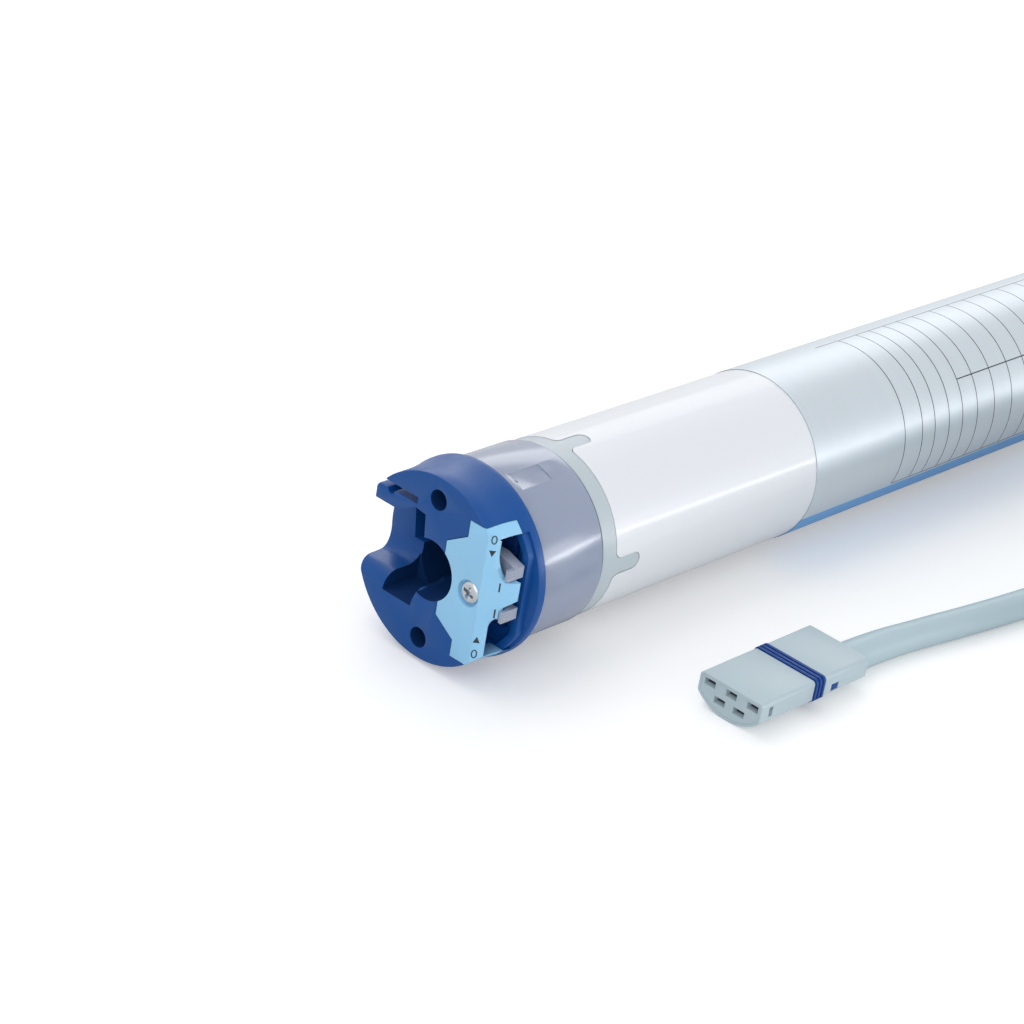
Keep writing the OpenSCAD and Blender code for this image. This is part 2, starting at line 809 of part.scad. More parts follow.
module running_ring() color("#9AA9BE") {
  counter_x = ring_x1 - magnet_len - 0.8;
  edge = 0.4;
  difference() {
    turned([
      [ring_in_r, ring_x0], [ring_r - edge, ring_x0], [ring_r, ring_x0 + edge],
      [ring_r, ring_x1 - edge], [ring_r - edge, ring_x1], [magnet_r1 + seat_gap, ring_x1],
      [magnet_r1 + seat_gap, counter_x], [ring_in_r, counter_x]
    ]);
    // Shallow mark on the outside
    rotate([180 - mark_angle, 0, 0])
      block([mark_x, ring_r - mark_depth, -mark_w / 2], [mark_x + mark_len, cut, mark_w / 2]);
  }
}

module ring_magnet() color("#3A3D42") {
  sleeve(ring_x1 - magnet_len - 0.75, ring_x1 - 0.75, magnet_r1, magnet_r0);
}

// Collar and tube

// One key, drawn in [x, width], with rounded end and filleted mouth, shrunk by g
module key_outline(g) {
  w = key_w / 2 - g;
  r = key_mouth_r;
  end_x = tube_x0 + key_len - key_w / 2;
  difference() {
    union() {
      translate([tube_x0 - 1, -w]) square([end_x - tube_x0 + 1, 2 * w]);
      translate([tube_x0 - 1, -w - r]) square([r + 1 - key_mouth_cut, 2 * (w + r)]);
      translate([end_x, 0]) circle(r = w);
    }
    for (side = [-1, 1])
      translate([tube_x0 + r - key_mouth_cut, side * (key_w / 2 + r)]) circle(r = r + g);
  }
}

module keys(g, r0, r1) {
  for (k = [0 : key_count - 1])
    rotate([k * 360 / key_count + key_turn, 0, 0])
      translate([0, 0, r0]) linear_extrude(r1 - r0) key_outline(g);
}

module housing_collar() color("#C8D1D8") {
  bore = neck_r + seat_gap;
  difference() {
    union() {
      rod(collar_x0, tube_x0 - seat_gap, collar_r);
      rod(collar_x0, spigot_x1, seat_r);
      intersection() {
        keys(key_gap, tube_in_r - 1, cut);
        rod(collar_x0, spigot_x1, collar_r);
      }
    }
    rod(collar_x0 - 1, spigot_x1 + 1, bore);
  }
}

module motor_tube() color("#E6EAEF") {
  difference() {
    // Turned, so that no slot or rivet hole lies on the seam of the round wall
    rotate([tube_seam_turn, 0, 0]) sleeve(tube_x0, tube_x1, tube_r, tube_in_r);
    keys(0, tube_in_r - 1, cut);
    for (k = [0 : rivet_count - 1])
      rotate([k * 360 / rivet_count + 45, 0, 0])
        translate([rivet_x, 0, 0]) cylinder(h = cut, r = rivet_d / 2 + seat_gap);
  }
}

module rating_label() color("#D2DCE2") {
  translate([label_x, 0, 0]) rotate([0, 90, 0]) rotate([0, 0, -90 - label_low - label_wrap])
    rotate_extrude(angle = label_wrap, $fn = 96)
      translate([tube_r + glue_t, 0]) square([label_t, label_len]);
}

// Electronics

module board_carrier() color("#3B3F45") {
  x0 = carrier_x0;
  x1 = carrier_x0 + carrier_len;
  difference() {
    rod(x0, x1, carrier_r);
    rod(x0 + carrier_end_t, x1 - carrier_end_t, carrier_r - carrier_wall);
    block([x0 - 1, -cut, board_z], [x1 + 1, cut, cut]);
    rod(x0 - 1, x1 + 1, 6);
  }
}

module circuit_board() color("#2F6B4A") {
  block([board_x0, -board_half, board_z], [board_x0 + board_len, board_half, board_z + board_t]);
}

module board_components() color("#26292E") {
  z = board_z + board_t;
  relay = [13, 8, 9];
  for (i = [0 : 1])
    translate([board_x0 + 4 + i * 16, -9, z]) cube(relay);
  for (i = [0 : 2])
    translate([board_x0 + 9 + i * 11, 6, z]) cylinder(h = 8, r = 3.5);
  translate([board_x0 + 40, -7, z]) cube([10, 10, 1.6]);
}

module motor_capacitor() color("#B9BDC2") {
  r = capacitor_d / 2;
  x1 = capacitor_x0 + capacitor_len;
  turned([[0, capacitor_x0], [r - 1.5, capacitor_x0], [r, capacitor_x0 + 1.5],
          [r, x1 - 1], [r - 1, x1], [0, x1]]);
  for (side = [-1, 1])
    block([x1 - 1, side * 5 - 3, -0.4], [x1 + 4, side * 5 + 3, 0.4]);
}

module capacitor_pads() color("#4A4E55") {
  for (x = [capacitor_x0 + 4, capacitor_x0 + capacitor_len - 4 - pad_len])
    sleeve(x, x + pad_len, seat_r, capacitor_d / 2 + seat_gap);
}

// Motor unit

module bell(x_face, x_stack, outer_side) {
  difference() {
    union() {
      rod(min(x_face, x_face + outer_side * bell_t), max(x_face, x_face + outer_side * bell_t), seat_r);
      sleeve(min(x_face, x_stack), max(x_face, x_stack), seat_r, seat_r - bell_skirt);
    }
    rod(x_face - bell_t - 1, x_face + bell_t + 1, bearing_r + seat_gap);
  }
}

module rear_bell() color("#A9ADB3") bell(motor_x0 + bell_t, stack_x0, -1);

module front_bell() color("#A9ADB3") bell(front_bell_x0, stack_x1, 1);

module rotor_bearings() color("#D5D8DC") {
  for (x = [motor_x0, front_bell_x0])
    sleeve(x, x + bearing_w, bearing_r, shaft_r + shaft_fit);
}

module stator_outline() {
  difference() {
    circle(r = seat_r);
    circle(r = bore_r);
    for (i = [0 : slot_count - 1])
      rotate(i * 360 / slot_count) {
        translate([slot_r0, -slot_w / 2]) square([slot_r1 - slot_r0, slot_w]);
        translate([bore_r - 1, -slot_mouth / 2]) square([slot_r0 - bore_r + 1.5, slot_mouth]);
      }
  }
}

module stator_core() color("#7C8288") along_x(stack_x0, stack_x1) stator_outline();

module stator_windings() color("#B5703C") {
  g = winding_gap;
  along_x(stack_x0 - overhang, stack_x1 + overhang)
    for (i = [0 : slot_count - 1])
      rotate(i * 360 / slot_count)
        translate([slot_r0 + g, -slot_w / 2 + g]) square([slot_r1 - slot_r0 - 2 * g, slot_w - 2 * g]);
  for (x = [stack_x0 - overhang, stack_x1 + 0.5])
    sleeve(x, x + overhang - 0.5, slot_r1 + 0.6, slot_r0 - 0.1);
}

module rotor_core() color("#8E9298") {
  ring_h = 4;
  sleeve(stack_x0, stack_x1, rotor_r, shaft_r + seat_gap / 2);
  for (x = [stack_x0 - ring_h, stack_x1])
    sleeve(x, x + ring_h, rotor_r - 0.6, shaft_r + seat_gap / 2);
}

module rotor_shaft() color("#BFC4CA") {
  difference() {
    rod(motor_x0 - 0.4, gearbox_x0 - 1, shaft_r);
    block([spring_x0 + spring_len, -cut, flat_z], [gearbox_x0, cut, cut]);
  }
  rod(gearbox_x0 - 1.5, planet_1_x1, pinion_bore_r - pinion_fit);
}

// Brake

module brake_spring() color("#6F757C") {
  sleeve(spring_x0, spring_x0 + spring_len, shaft_r + 1.2, shaft_r + 0.1);
}

module brake_disc() color("#9BA0A6") {
  difference() {
    union() {
      rod(hub_x0, brake_disc_x1, hub_r);
      rod(brake_disc_x0, brake_disc_x1, brake_d / 2);
    }
    along_x(hub_x0 - 1, brake_disc_x1 + 1)
      difference() {
        circle(r = shaft_r + output_fit);
        translate([-cut, flat_z + output_fit]) square(2 * cut);
      }
  }
}

module brake_lining() color("#4B3A30") {
  sleeve(lining_x0, brake_plate_x0, brake_d / 2 - 0.5, hub_r + 2);
}

module brake_plate() color("#A9ADB3") {
  sleeve(brake_plate_x0, gearbox_x0, seat_r, shaft_r + 1);
}

// Gears

function involute(a) = tan(a) * 180 / PI - a;

// Half the angle that a tooth takes at radius r
function tooth_half(teeth, play, r) =
  let(pitch_r = gear_module * teeth / 2, base_r = pitch_r * cos(pressure_angle), q = max(r, base_r))
  90 / teeth - play / 2 / pitch_r * 180 / PI + involute(pressure_angle) - involute(acos(base_r / q));

// Outline of a gear, with its flanks at the given radii
function gear_points(teeth, play, radii) = [
  for (i = [0 : teeth - 1])
    for (side = [-1, 1])
      for (k = [0 : len(radii) - 1])
        let(r = radii[side < 0 ? k : len(radii) - 1 - k],
            a = i * 360 / teeth + side * tooth_half(teeth, play, r))
        [r * cos(a), r * sin(a)]
];

function flank(teeth) =
  let(r = gear_module * teeth / 2)
  [r - dedendum, r - 0.4 * addendum, r + 0.3 * addendum, r + addendum];

module gear(teeth, x0, x1) {
  along_x(x0, x1) polygon(gear_points(teeth, backlash / 2, flank(teeth)));
}

module ring_gear() color("#8F949B") {
  pitch_r = gear_module * ring_teeth / 2;
  radii = [ring_tip_r, pitch_r, ring_root_r];
  difference() {
    rod(gearbox_x0, cap_x0, seat_r);
    along_x(gearbox_x0 - 1, cap_x0 + 1) polygon(gear_points(ring_teeth, -backlash / 2, radii));
  }
}

module motor_pinion() color("#B8A06A") {
  difference() {
    gear(sun_teeth, planet_1_x0 - 1, planet_1_x1);
    rod(planet_1_x0 - 2, planet_1_x1 + 1, pinion_bore_r);
  }
}

// One planet of a stage, at its place on the carrier
module planet(x0, x1, place) {
  rotate([place * 120, 0, 0]) translate([0, planet_orbit, 0])
    difference() {
      gear(planet_teeth, x0, x1);
      rod(x0 - 1, x1 + 1, planet_pin_r + planet_fit);
    }
}

module planet_1a() color("#D8D2C0") planet(planet_1_x0, planet_1_x1, 0);
module planet_1b() color("#D8D2C0") planet(planet_1_x0, planet_1_x1, 1);
module planet_1c() color("#D8D2C0") planet(planet_1_x0, planet_1_x1, 2);
module planet_2a() color("#B8A06A") planet(planet_2_x0, planet_2_x1, 0);
module planet_2b() color("#B8A06A") planet(planet_2_x0, planet_2_x1, 1);
module planet_2c() color("#B8A06A") planet(planet_2_x0, planet_2_x1, 2);
module planet_3a() color("#9EA3A9") planet(planet_3_x0, planet_3_x1, 0);
module planet_3b() color("#9EA3A9") planet(planet_3_x0, planet_3_x1, 1);
module planet_3c() color("#9EA3A9") planet(planet_3_x0, planet_3_x1, 2);

// Carrier plate with its three pins
module carrier(x0, x1, pin_x0) {
  rod(x0, x1, carrier_r_out);
  for (place = [0 : 2])
    rotate([place * 120, 0, 0]) translate([0, planet_orbit, 0]) rod(pin_x0, x0 + 1, planet_pin_r);
}

module carrier_1() color("#7E848B") {
  carrier(carrier_1_x0, carrier_1_x1, planet_1_x0);
  gear(sun_teeth, carrier_1_x1 - 1, planet_2_x1);
}

module carrier_2() color("#7E848B") {
  carrier(carrier_2_x0, carrier_2_x1, planet_2_x0);
  gear(sun_teeth, carrier_2_x1 - 1, planet_3_x1);
}

module carrier_3() color("#7E848B") {
  w = spigot_w / 2 + seat_gap;
  difference() {
    carrier(carrier_3_x0, carrier_3_x1, planet_3_x0);
    block([carrier_3_x0 - 1, -w, -w], [carrier_3_x1 + 1, w, w]);
  }
}

// Output end

module output_shaft() color("#AEB3B9") {
  w = square_w / 2;
  difference() {
    union() {
      block([carrier_3_x0, -spigot_w / 2, -spigot_w / 2], [carrier_3_x1 + 1, spigot_w / 2, spigot_w / 2]);
      rod(carrier_3_x1, carrier_3_x1 + shoulder_len, collar_out_r);
      rod(carrier_3_x1, square_x0, output_r);
      block([square_x0 - 1, -w, -w], [square_x1, w, w]);
    }
    rod(square_x1 - wheel_screw_len - 1, square_x1 + 1, wheel_screw_d / 2 + seat_gap);
  }
}

module output_bush() color("#B08D4C") {
  sleeve(bush_x0, cap_x1, output_r + output_fit + bush_wall, output_r + output_fit);
}

module end_cap() color("#34383D") {
  bore = output_r + output_fit + bush_wall + seat_gap;
  difference() {
    union() {
      rod(cap_x0, tube_x1 + 1, seat_r);
      rod(tube_x1, cap_x1, tube_r);
    }
    rod(bush_x0, cap_x1 + 1, bore);
    rod(cap_x0 - 1, bush_x0 + 1, output_r + 0.5);
    for (k = [0 : rivet_count - 1])
      rotate([k * 360 / rivet_count + 45, 0, 0])
        translate([rivet_x, 0, seat_r - rivet_depth - 0.2]) cylinder(h = cut, r = rivet_d / 2 + seat_gap);
  }
}

module tube_rivets() color("#BFC4CA") {
  for (k = [0 : rivet_count - 1])
    rotate([k * 360 / rivet_count + 45, 0, 0])
      translate([rivet_x, 0, 0]) {
        translate([0, 0, seat_r - rivet_depth])
          cylinder(h = tube_r + eps - seat_r + rivet_depth, r = rivet_d / 2);
        translate([0, 0, tube_r]) cylinder(h = rivet_head, r = rivet_d / 2 + 0.8);
      }
}

module drive_wheel() color("#34383D") {
  w = square_w / 2 + seat_gap;
  web_x = wheel_x0 + (wheel_len - wheel_web_t) / 2;
  difference() {
    union() {
      sleeve(wheel_x0, wheel_x1, wheel_r, wheel_r - wheel_rim);
      rod(wheel_x0, wheel_x1, wheel_hub_r);
      rod(web_x, web_x + wheel_web_t, wheel_r - wheel_rim + 0.5);
      for (k = [0 : wheel_spokes - 1])
        rotate([k * 360 / wheel_spokes + 30, 0, 0])
          block([wheel_x0 + 1, -spoke_w / 2, 0], [wheel_x1 - 1, spoke_w / 2, wheel_r - wheel_rim + 0.5]);
    }
    block([wheel_x0 - 1, -w, -w], [wheel_x1 + 1, w, w]);
    block([wheel_x0 - 1, -seam_w / 2, wheel_r - seam_depth], [wheel_x1 + 1, seam_w / 2, cut]);
  }
}

module wheel_screw() color("#C9CDD2") {
  washer_x0 = square_x1 + seat_gap;
  head_x0 = washer_x0 + washer_t;
  cross_w = 1;
  difference() {
    union() {
      rod(washer_x0, head_x0, washer_r);
      rod(head_x0 - eps, head_x0 + screw_head_h, screw_head_r);
      rod(square_x1 - wheel_screw_len, head_x0, wheel_screw_d / 2);
    }
    for (turn = [0, 90])
      rotate([turn, 0, 0])
        block([head_x0 + screw_head_h - 1.2, -cross_w / 2, -2.2], [cut + head_x0, cross_w / 2, 2.2]);
  }
}

// Connector and cable

// The connector's D outline, flat side up, standing on its lowest point and grown by g
module plug_outline(g) {
  r = plug_edge_r;
  w = plug_w / 2;
  intersection() {
    union() {
      translate([-w - g, -g]) square([plug_w + 2 * g, plug_h - r + g]);
      translate([r - w, 0]) square([plug_w - 2 * r, plug_h + g]);
      for (side = [-1, 1])
        translate([side * (w - r), plug_h - r]) circle(r = r + g);
    }
    translate([0, plug_arc_r]) circle(r = plug_arc_r + g);
  }
}

module lying_plug(x0, x1, g) {
  along_x(x0, x1) translate([plug_y, floor_z]) plug_outline(g);
}

module connector_body() color("#C3D0D8") {
  x0 = plug_x;
  x1 = plug_x + plug_len;
  difference() {
    lying_plug(x0, x1, 0);
    lying_plug(x0 - 1, x0 + plug_lip, -plug_lip_w);
    for (c = contact_rows)
      translate([0, plug_y + plug_w / 2 - c[0], plug_z1 - c[1]])
        block([x0 - 1, -contact_slot[0] / 2, -contact_slot[1] / 2],
              [x0 + plug_slot_depth, contact_slot[0] / 2, contact_slot[1] / 2]);
    // Groove for the seal
    difference() {
      lying_plug(x0 + seal_x, x0 + seal_x + seal_len, 1);
      lying_plug(x0, x1, -seal_sink);
    }
    // Pocket for the tab and slot near the front
    translate([tab_x, plug_y - plug_w / 2 - 1, tab_z]) cube([tab_size[0], tab_size[1] + 1, tab_size[2]]);
    translate([side_slot_x, plug_y - plug_w / 2 - 1, plug_z1 - 1.2 - side_slot[2]])
      cube([side_slot[0], side_slot[1] + 1, side_slot[2]]);
  }
}

module connector_seal() color("#0A4A9A") {
  x0 = plug_x + seal_x + seat_gap;
  length = seal_len - 2 * seat_gap;
  pitch = length / seal_ridges;
  difference() {
    union() {
      lying_plug(x0, x0 + length, -seal_base);
      for (i = [0 : seal_ridges - 1])
        intersection() {
          lying_plug(x0 + (i + 0.2) * pitch, x0 + (i + 0.8) * pitch, 0.2);
          translate([0, -2 * cut, floor_z]) cube(2 * cut);
        }
    }
    lying_plug(x0 - 1, x0 + length + 1, -seal_sink + seat_gap / 2);
  }
}

module connector_contacts() color("#D9B45A") {
  wall = 0.2;
  for (c = contact_rows)
    translate([plug_x + 1.5, plug_y + plug_w / 2 - c[0], plug_z1 - c[1]])
      difference() {
        block([0, -contact_slot[0] / 2 + 0.1, -contact_slot[1] / 2 + 0.1],
              [10, contact_slot[0] / 2 - 0.1, contact_slot[1] / 2 - 0.1]);
        block([-1, -contact_slot[0] / 2 + 0.1 + wall, -contact_slot[1] / 2 + 0.1 + wall],
              [9, contact_slot[0] / 2 - 0.1 - wall, contact_slot[1] / 2 - 0.1 - wall]);
      }
}

module connector_tab() color("#0A4A9A") {
  g = seat_gap;
  translate([tab_x + g, plug_y - plug_w / 2 + 0.1, tab_z + g])
    cube([tab_size[0] - 2 * g, tab_size[1] - 0.1, tab_size[2] - 2 * g]);
}

// Tube swept along points as one polyhedron of triangles
function unit(v) = v / norm(v);
function along(points, i) =
  unit(points[min(i + 1, len(points) - 1)] - points[max(i - 1, 0)]);
function sweep_ring(p, t, r, sides) =
  let(s = unit(cross([0, 0, 1], t)), u = cross(t, s))
  [for (k = [0 : sides - 1]) let(a = (k + 0.5) * 360 / sides) p + r * (cos(a) * s + sin(a) * u)];

module swept_tube(points, r, sides, first, last) {
  n = len(points);
  rings = [
    for (i = [0 : n - 1])
      sweep_ring(points[i], i == 0 ? first : i == n - 1 ? last : along(points, i), r, sides)
  ];
  corners = [for (ring = rings) for (p = ring) p];
  walls = [
    for (i = [0 : n - 2]) for (k = [0 : sides - 1])
      let(a = i * sides + k, b = i * sides + (k + 1) % sides, c = b + sides, d = a + sides)
      each [[a, c, b], [a, d, c]]
  ];
  ends = [
    for (k = [1 : sides - 2])
      each [[0, k, k + 1], [(n - 1) * sides, (n - 1) * sides + k + 1, (n - 1) * sides + k]]
  ];
  polyhedron(points = corners, faces = concat(walls, ends));
}

function total(list) = list * [for (value = list) 1];
function route_length(points) = total([for (i = [1 : len(points) - 1]) norm(points[i] - points[i - 1])]);

lead_points = [for (p = lead_route) [p[0], p[1], cable_z]];

// Coil: the radius runs out and in again at a steady rate, and a layer is climbed where it turns
coil_turns = turns * layers;
function coil_radius(a) =
  let(k = floor(a / 360 / turns), f = a / 360 / turns - k)
  coil_r_in + (k % 2 == 0 ? 1 - f : f) * turns * coil_step;
function coil_climb(a) =
  total([for (k = [1 : layers - 1]) min(1, max(0, (a - k * turns * 360 + 90) / 180))]);
function coil_point(a) =
  let(r = coil_radius(min(a, coil_turns * 360 - eps)))
  [coil_x + r * sin(a), coil_y + r * cos(a), cable_z + coil_step * coil_climb(a)];
coil_points = concat(
  [[lead_points[len(lead_points) - 1][0], lead_points[len(lead_points) - 1][1], cable_z]],
  [for (i = [0 : coil_turns * coil_rings]) coil_point(i * 360 / coil_rings)],
  [[tail_route[0][0], tail_route[0][1], coil_top_z]]
);

tail_points = [for (p = tail_route) [p[0], p[1], cable_z + p[2] * (coil_top_z - cable_z)]];

// Least gap between turns of the coil, measured between points at least half a turn apart
coil_gap = min([
  for (i = [0 : len(coil_points) - 1]) for (j = [i + coil_rings / 2 : 1 : len(coil_points) - 1])
    norm(coil_points[i] - coil_points[j])
]) - cable_d;
lead_length = route_length(lead_points);
coil_length = route_length(coil_points);
tail_length = route_length(tail_points);
echo(least_coil_gap = coil_gap);
cable_length = lead_length + coil_length + tail_length;
echo(lead = lead_length, coil = coil_length, tail = tail_length, cable = cable_length);

module cable_lead() color("#BCD0D8") swept_tube(lead_points, cable_r, lead_sides, [1, 0, 0], [1, 0, 0]);

module cable_coil() color("#BCD0D8") swept_tube(coil_points, cable_r, coil_sides, [1, 0, 0], [1, 0, 0]);

// The tail's first and last directions along its route
tail_heading = unit(tail_points[len(tail_points) - 1] - tail_points[len(tail_points) - 2]);
module cable_tail() color("#BCD0D8") swept_tube(tail_points, cable_r, lead_sides, [1, 0, 0], tail_heading);

// Four cores leave the sheath and fan out on the floor
core_colors = ["#2B66B1", "#6B4426", "#26282B", "#7FA63A"];
core_starts = [[-1.2, 1.2], [1.2, 1.2], [-1.2, -1.2], [1.2, -1.2]];
core_lanes = [-5.4, 1.7, -1.7, 5.4];
function ease(f, f0, f1) = let(q = min(1, max(0, (f - f0) / (f1 - f0)))) q * q * (3 - 2 * q);
function core_points(i) =
  let(start = [tail_end[0], tail_end[1], cable_z], side = cross([0, 0, 1], tail_heading))
  [for (f = [0, 0.12, 0.35, 0.6, 0.82, 1])
    let(spread = ease(f, 0.12, 0.6), drop = ease(f, 0.3, 0.82),
        offset = core_starts[i][0] * (1 - spread) + core_lanes[i] * spread,
        height = core_starts[i][1] * (1 - drop) + (core_z - cable_z) * drop)
    start + tail_heading * (core_reach * f) + side * offset + [0, 0, height]];

module cable_cores() {
  for (i = [0 : 3])
    color(core_colors[i]) swept_tube(core_points(i), core_r, core_sides, tail_heading, tail_heading);
}

module core_ferrules() color("#C9CDD2") {
  for (i = [0 : 3])
    translate(core_points(i)[5]) rotate([0, 0, atan2(tail_heading[1], tail_heading[0])])
      rotate([0, 90, 0]) cylinder(h = ferrule_len, r = ferrule_r);
}

motor_head();
switch_panel();
panel_screw();
upper_limit_slider();
lower_limit_slider();
switch_board();
socket_pins();
running_ring();
ring_magnet();
sensor_board();
housing_collar();
motor_tube();
rating_label();
board_carrier();
circuit_board();
board_components();
motor_capacitor();
capacitor_pads();
rear_bell();
front_bell();
rotor_bearings();
stator_core();
stator_windings();
rotor_core();
rotor_shaft();
brake_spring();
brake_disc();
brake_lining();
brake_plate();
ring_gear();
motor_pinion();
planet_1a();
planet_1b();
planet_1c();
planet_2a();
planet_2b();
planet_2c();
planet_3a();
planet_3b();
planet_3c();
carrier_1();
carrier_2();
carrier_3();
output_shaft();
output_bush();
end_cap();
tube_rivets();
drive_wheel();
wheel_screw();
connector_body();
connector_seal();
connector_contacts();
connector_tab();
cable_lead();
cable_coil();
cable_tail();
cable_cores();
core_ferrules();
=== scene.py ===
"""Looks of a tubular roller blind motor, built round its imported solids.

X runs along the motor axis from the head's front face, Z is up and all lengths are in metres.
"""
import math

import bpy
from bpy.props import FloatProperty, FloatVectorProperty, IntProperty, PointerProperty
from mathutils import Matrix, Vector


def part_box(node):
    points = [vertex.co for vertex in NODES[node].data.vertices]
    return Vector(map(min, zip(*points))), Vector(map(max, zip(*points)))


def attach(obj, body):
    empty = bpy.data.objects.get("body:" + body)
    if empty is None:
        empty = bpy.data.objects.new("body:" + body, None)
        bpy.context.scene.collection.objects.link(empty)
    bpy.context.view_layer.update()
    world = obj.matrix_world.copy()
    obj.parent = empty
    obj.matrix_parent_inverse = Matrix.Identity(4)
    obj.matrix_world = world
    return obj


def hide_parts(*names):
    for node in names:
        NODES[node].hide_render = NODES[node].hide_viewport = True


bl_info = {
    "name": "Tubular roller blind motor",
    "version": (1, 0, 0),
    "blender": (4, 5, 0),
    "location": "View3D > Sidebar > Blind motor",
    "description": "Dresses the packed roller blind motor with materials, marks, cable and stage",
    "category": "Object",
}

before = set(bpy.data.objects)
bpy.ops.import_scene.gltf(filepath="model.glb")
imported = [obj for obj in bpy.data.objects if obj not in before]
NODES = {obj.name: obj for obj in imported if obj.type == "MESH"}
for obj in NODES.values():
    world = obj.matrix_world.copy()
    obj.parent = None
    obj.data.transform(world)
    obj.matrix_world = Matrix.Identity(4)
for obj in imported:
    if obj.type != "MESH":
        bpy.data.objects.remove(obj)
MM = 0.001
FLOOR_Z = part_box("connector_body")[0].z
TUBE_R = 0.0175


def linear(code):
    """Linear colour of an sRGB hex value."""
    parts = [int(code[i:i + 2], 16) / 255 for i in (1, 3, 5)]
    return tuple(p / 12.92 if p <= 0.04045 else ((p + 0.055) / 1.055) ** 2.4 for p in parts)


def colour(name, description, code):
    """Property for a colour, given as an sRGB hex value."""
    return FloatVectorProperty(
        name=name, description=description, subtype="COLOR", size=3, min=0, max=1, default=linear(code)
    )


def length(name, description, mm):
    """Property for a length, given in mm."""
    return FloatProperty(
        name=name, description=description, unit="LENGTH", subtype="DISTANCE",
        min=0, precision=5, default=mm * MM,
    )


class MotorColours(bpy.types.PropertyGroup):
    head: colour("Head", "Blue of the moulded head", "#0C4C92")
    # The socket colour is painted shade: a darker blue that stands for the shade inside the head's bore,
    # screw holes and socket
    socket: colour("Sockets", "Painted shade: darker blue inside the head's bore, screw holes and socket", "#0B2F5E")
    panel: colour("Switch panel", "Light blue of the switch panel", "#93CBEE")
    slider: colour("Limit sliders", "Grey of the two limit sliders", "#9AA2B4")
    ring: colour("Running ring", "Smoky tint of the running ring", "#959FB6")
    collar: colour("Collar", "Pale grey-green of the housing collar", "#B9C4CA")
    tube: colour("Tube", "Satin lacquer on the motor tube", "#E0E3E8")
    foil: colour("Label", "Silver foil of the rating label", "#C6CFD6")
    ink: colour("Ink", "Ink of the label's rules and of the switch marks", "#2A2F38")
    band: colour("Label band", "Blue band along the label", "#66A8E2")
    connector: colour("Connector", "Pale grey of the connector", "#B2C3CA")
    seal: colour("Seal", "Blue of the connector's seal and tab", "#083F88")
    sheath: colour("Cable", "Pale grey of the cable's sheath", "#B0C5CD")
    black: colour("Black plastic", "End cap and drive wheel", "#34383D")
    backdrop: colour("Backdrop", "Floor and backdrop as the camera sees them", "#FBFBFB")


class MotorSizes(bpy.types.PropertyGroup):
    cable_d: length("Cable diameter", "Diameter of the cable", 6)
    core_d: length("Core diameter", "Diameter of each insulated core", 2.2)
    sleeve_len: length("Sleeve length", "Length of the tapered sleeve behind the connector", 22)
    sleeve_swell: length("Sleeve swell", "How far the sleeve stands out at the connector", 0.35)
    tie_w: length("Tie width", "Width of the cable tie round the coil", 3.6)
    mark_h: length("Mark height", "Height of the marks on the switch panel", 1.8)
    mark_t: length("Mark thickness", "Thickness of the printed marks", 0.03)
    rule_w: length("Rule width", "Width of the ruled lines on the label", 0.25)
    edge_r: length("Edge rounding", "Rounding of moulded edges", 0.15)
    coil_turns: IntProperty(
        name="Coil turns", description="Turns in each layer of the coil", default=3, min=1
    )


def sizes():
    """The sizes that a user may change."""
    return bpy.context.scene.motor_sizes


def colours():
    """The colours that a user may change."""
    return bpy.context.scene.motor_colours


# Materials

# Nearly all values of a noise lie between these two
NOISE_LOW = 0.3
NOISE_HIGH = 0.7
# How many radians a wave texture of scale 1 runs through in one unit
WAVE_RATE = 20
# Unit in mm of a board's tracks, which are 1.6 units long and half a unit apart
LANE_UNIT = 2.5


def add_node(tree, kind, inputs=None, **settings):
    """Adds one node with its settings; each input is a value or the socket that feeds it."""
    made = tree.nodes.new(kind)
    for key, value in settings.items():
        setattr(made, key, value)
    for key, value in (inputs or {}).items():
        if isinstance(value, bpy.types.NodeSocket):
            tree.links.new(value, made.inputs[key])
        else:
            made.inputs[key].default_value = value
    return made.outputs


def start_material(name):
    """An empty node material with its Object coordinates."""
    made = bpy.data.materials.new(name)
    made.use_nodes = True
    tree = made.node_tree
    tree.nodes.clear()
    return made, tree, add_node(tree, "ShaderNodeTexCoord")["Object"]


def tint(shade, share=0):
    """A colour made lighter or darker by a share."""
    return tuple(min(1, max(0, c * (1 + share))) for c in shade) + (1,)


def shades(shade, share):
    """The darker and the lighter shade that a pattern swings between."""
    return tint(shade, -share), tint(shade, share)


def around(value, swing):
    """The range round a value."""
    return value - swing, value + swing


def features(where, mm, detail=2, rough=0.5):
    """Inputs of a noise whose features are about mm across."""
    return {"Vector": where, "Scale": 1 / (mm * MM), "Detail": detail, "Roughness": rough}


def surface(tree, pattern, pair, sheen, roughness, height=None, depth_mm=0.0, **values):
    """Surface whose colour swings between a pair with the pattern, and its roughness with the sheen.

    The height, where there is one, makes a bump of the given depth.
    """
    base = add_node(tree, "ShaderNodeMix", {0: pattern, 6: pair[0], 7: pair[1]}, data_type="RGBA")[2]
    swing = {"From Min": NOISE_LOW, "From Max": NOISE_HIGH, "To Min": roughness[0], "To Max": roughness[1]}
    rough = add_node(tree, "ShaderNodeMapRange", {"Value": sheen, **swing})[0]
    inputs = {"Base Color": base, "Roughness": rough, **values}
    if height is not None:
        bump = {"Height": height, "Strength": 1, "Distance": depth_mm * MM}
        inputs["Normal"] = add_node(tree, "ShaderNodeBump", bump)[0]
    return add_node(tree, "ShaderNodeBsdfPrincipled", inputs)[0]


def close_material(tree, *terms, **values):
    """Ends a material in one surface."""
    add_node(tree, "ShaderNodeOutputMaterial", {"Surface": surface(tree, *terms, **values)})


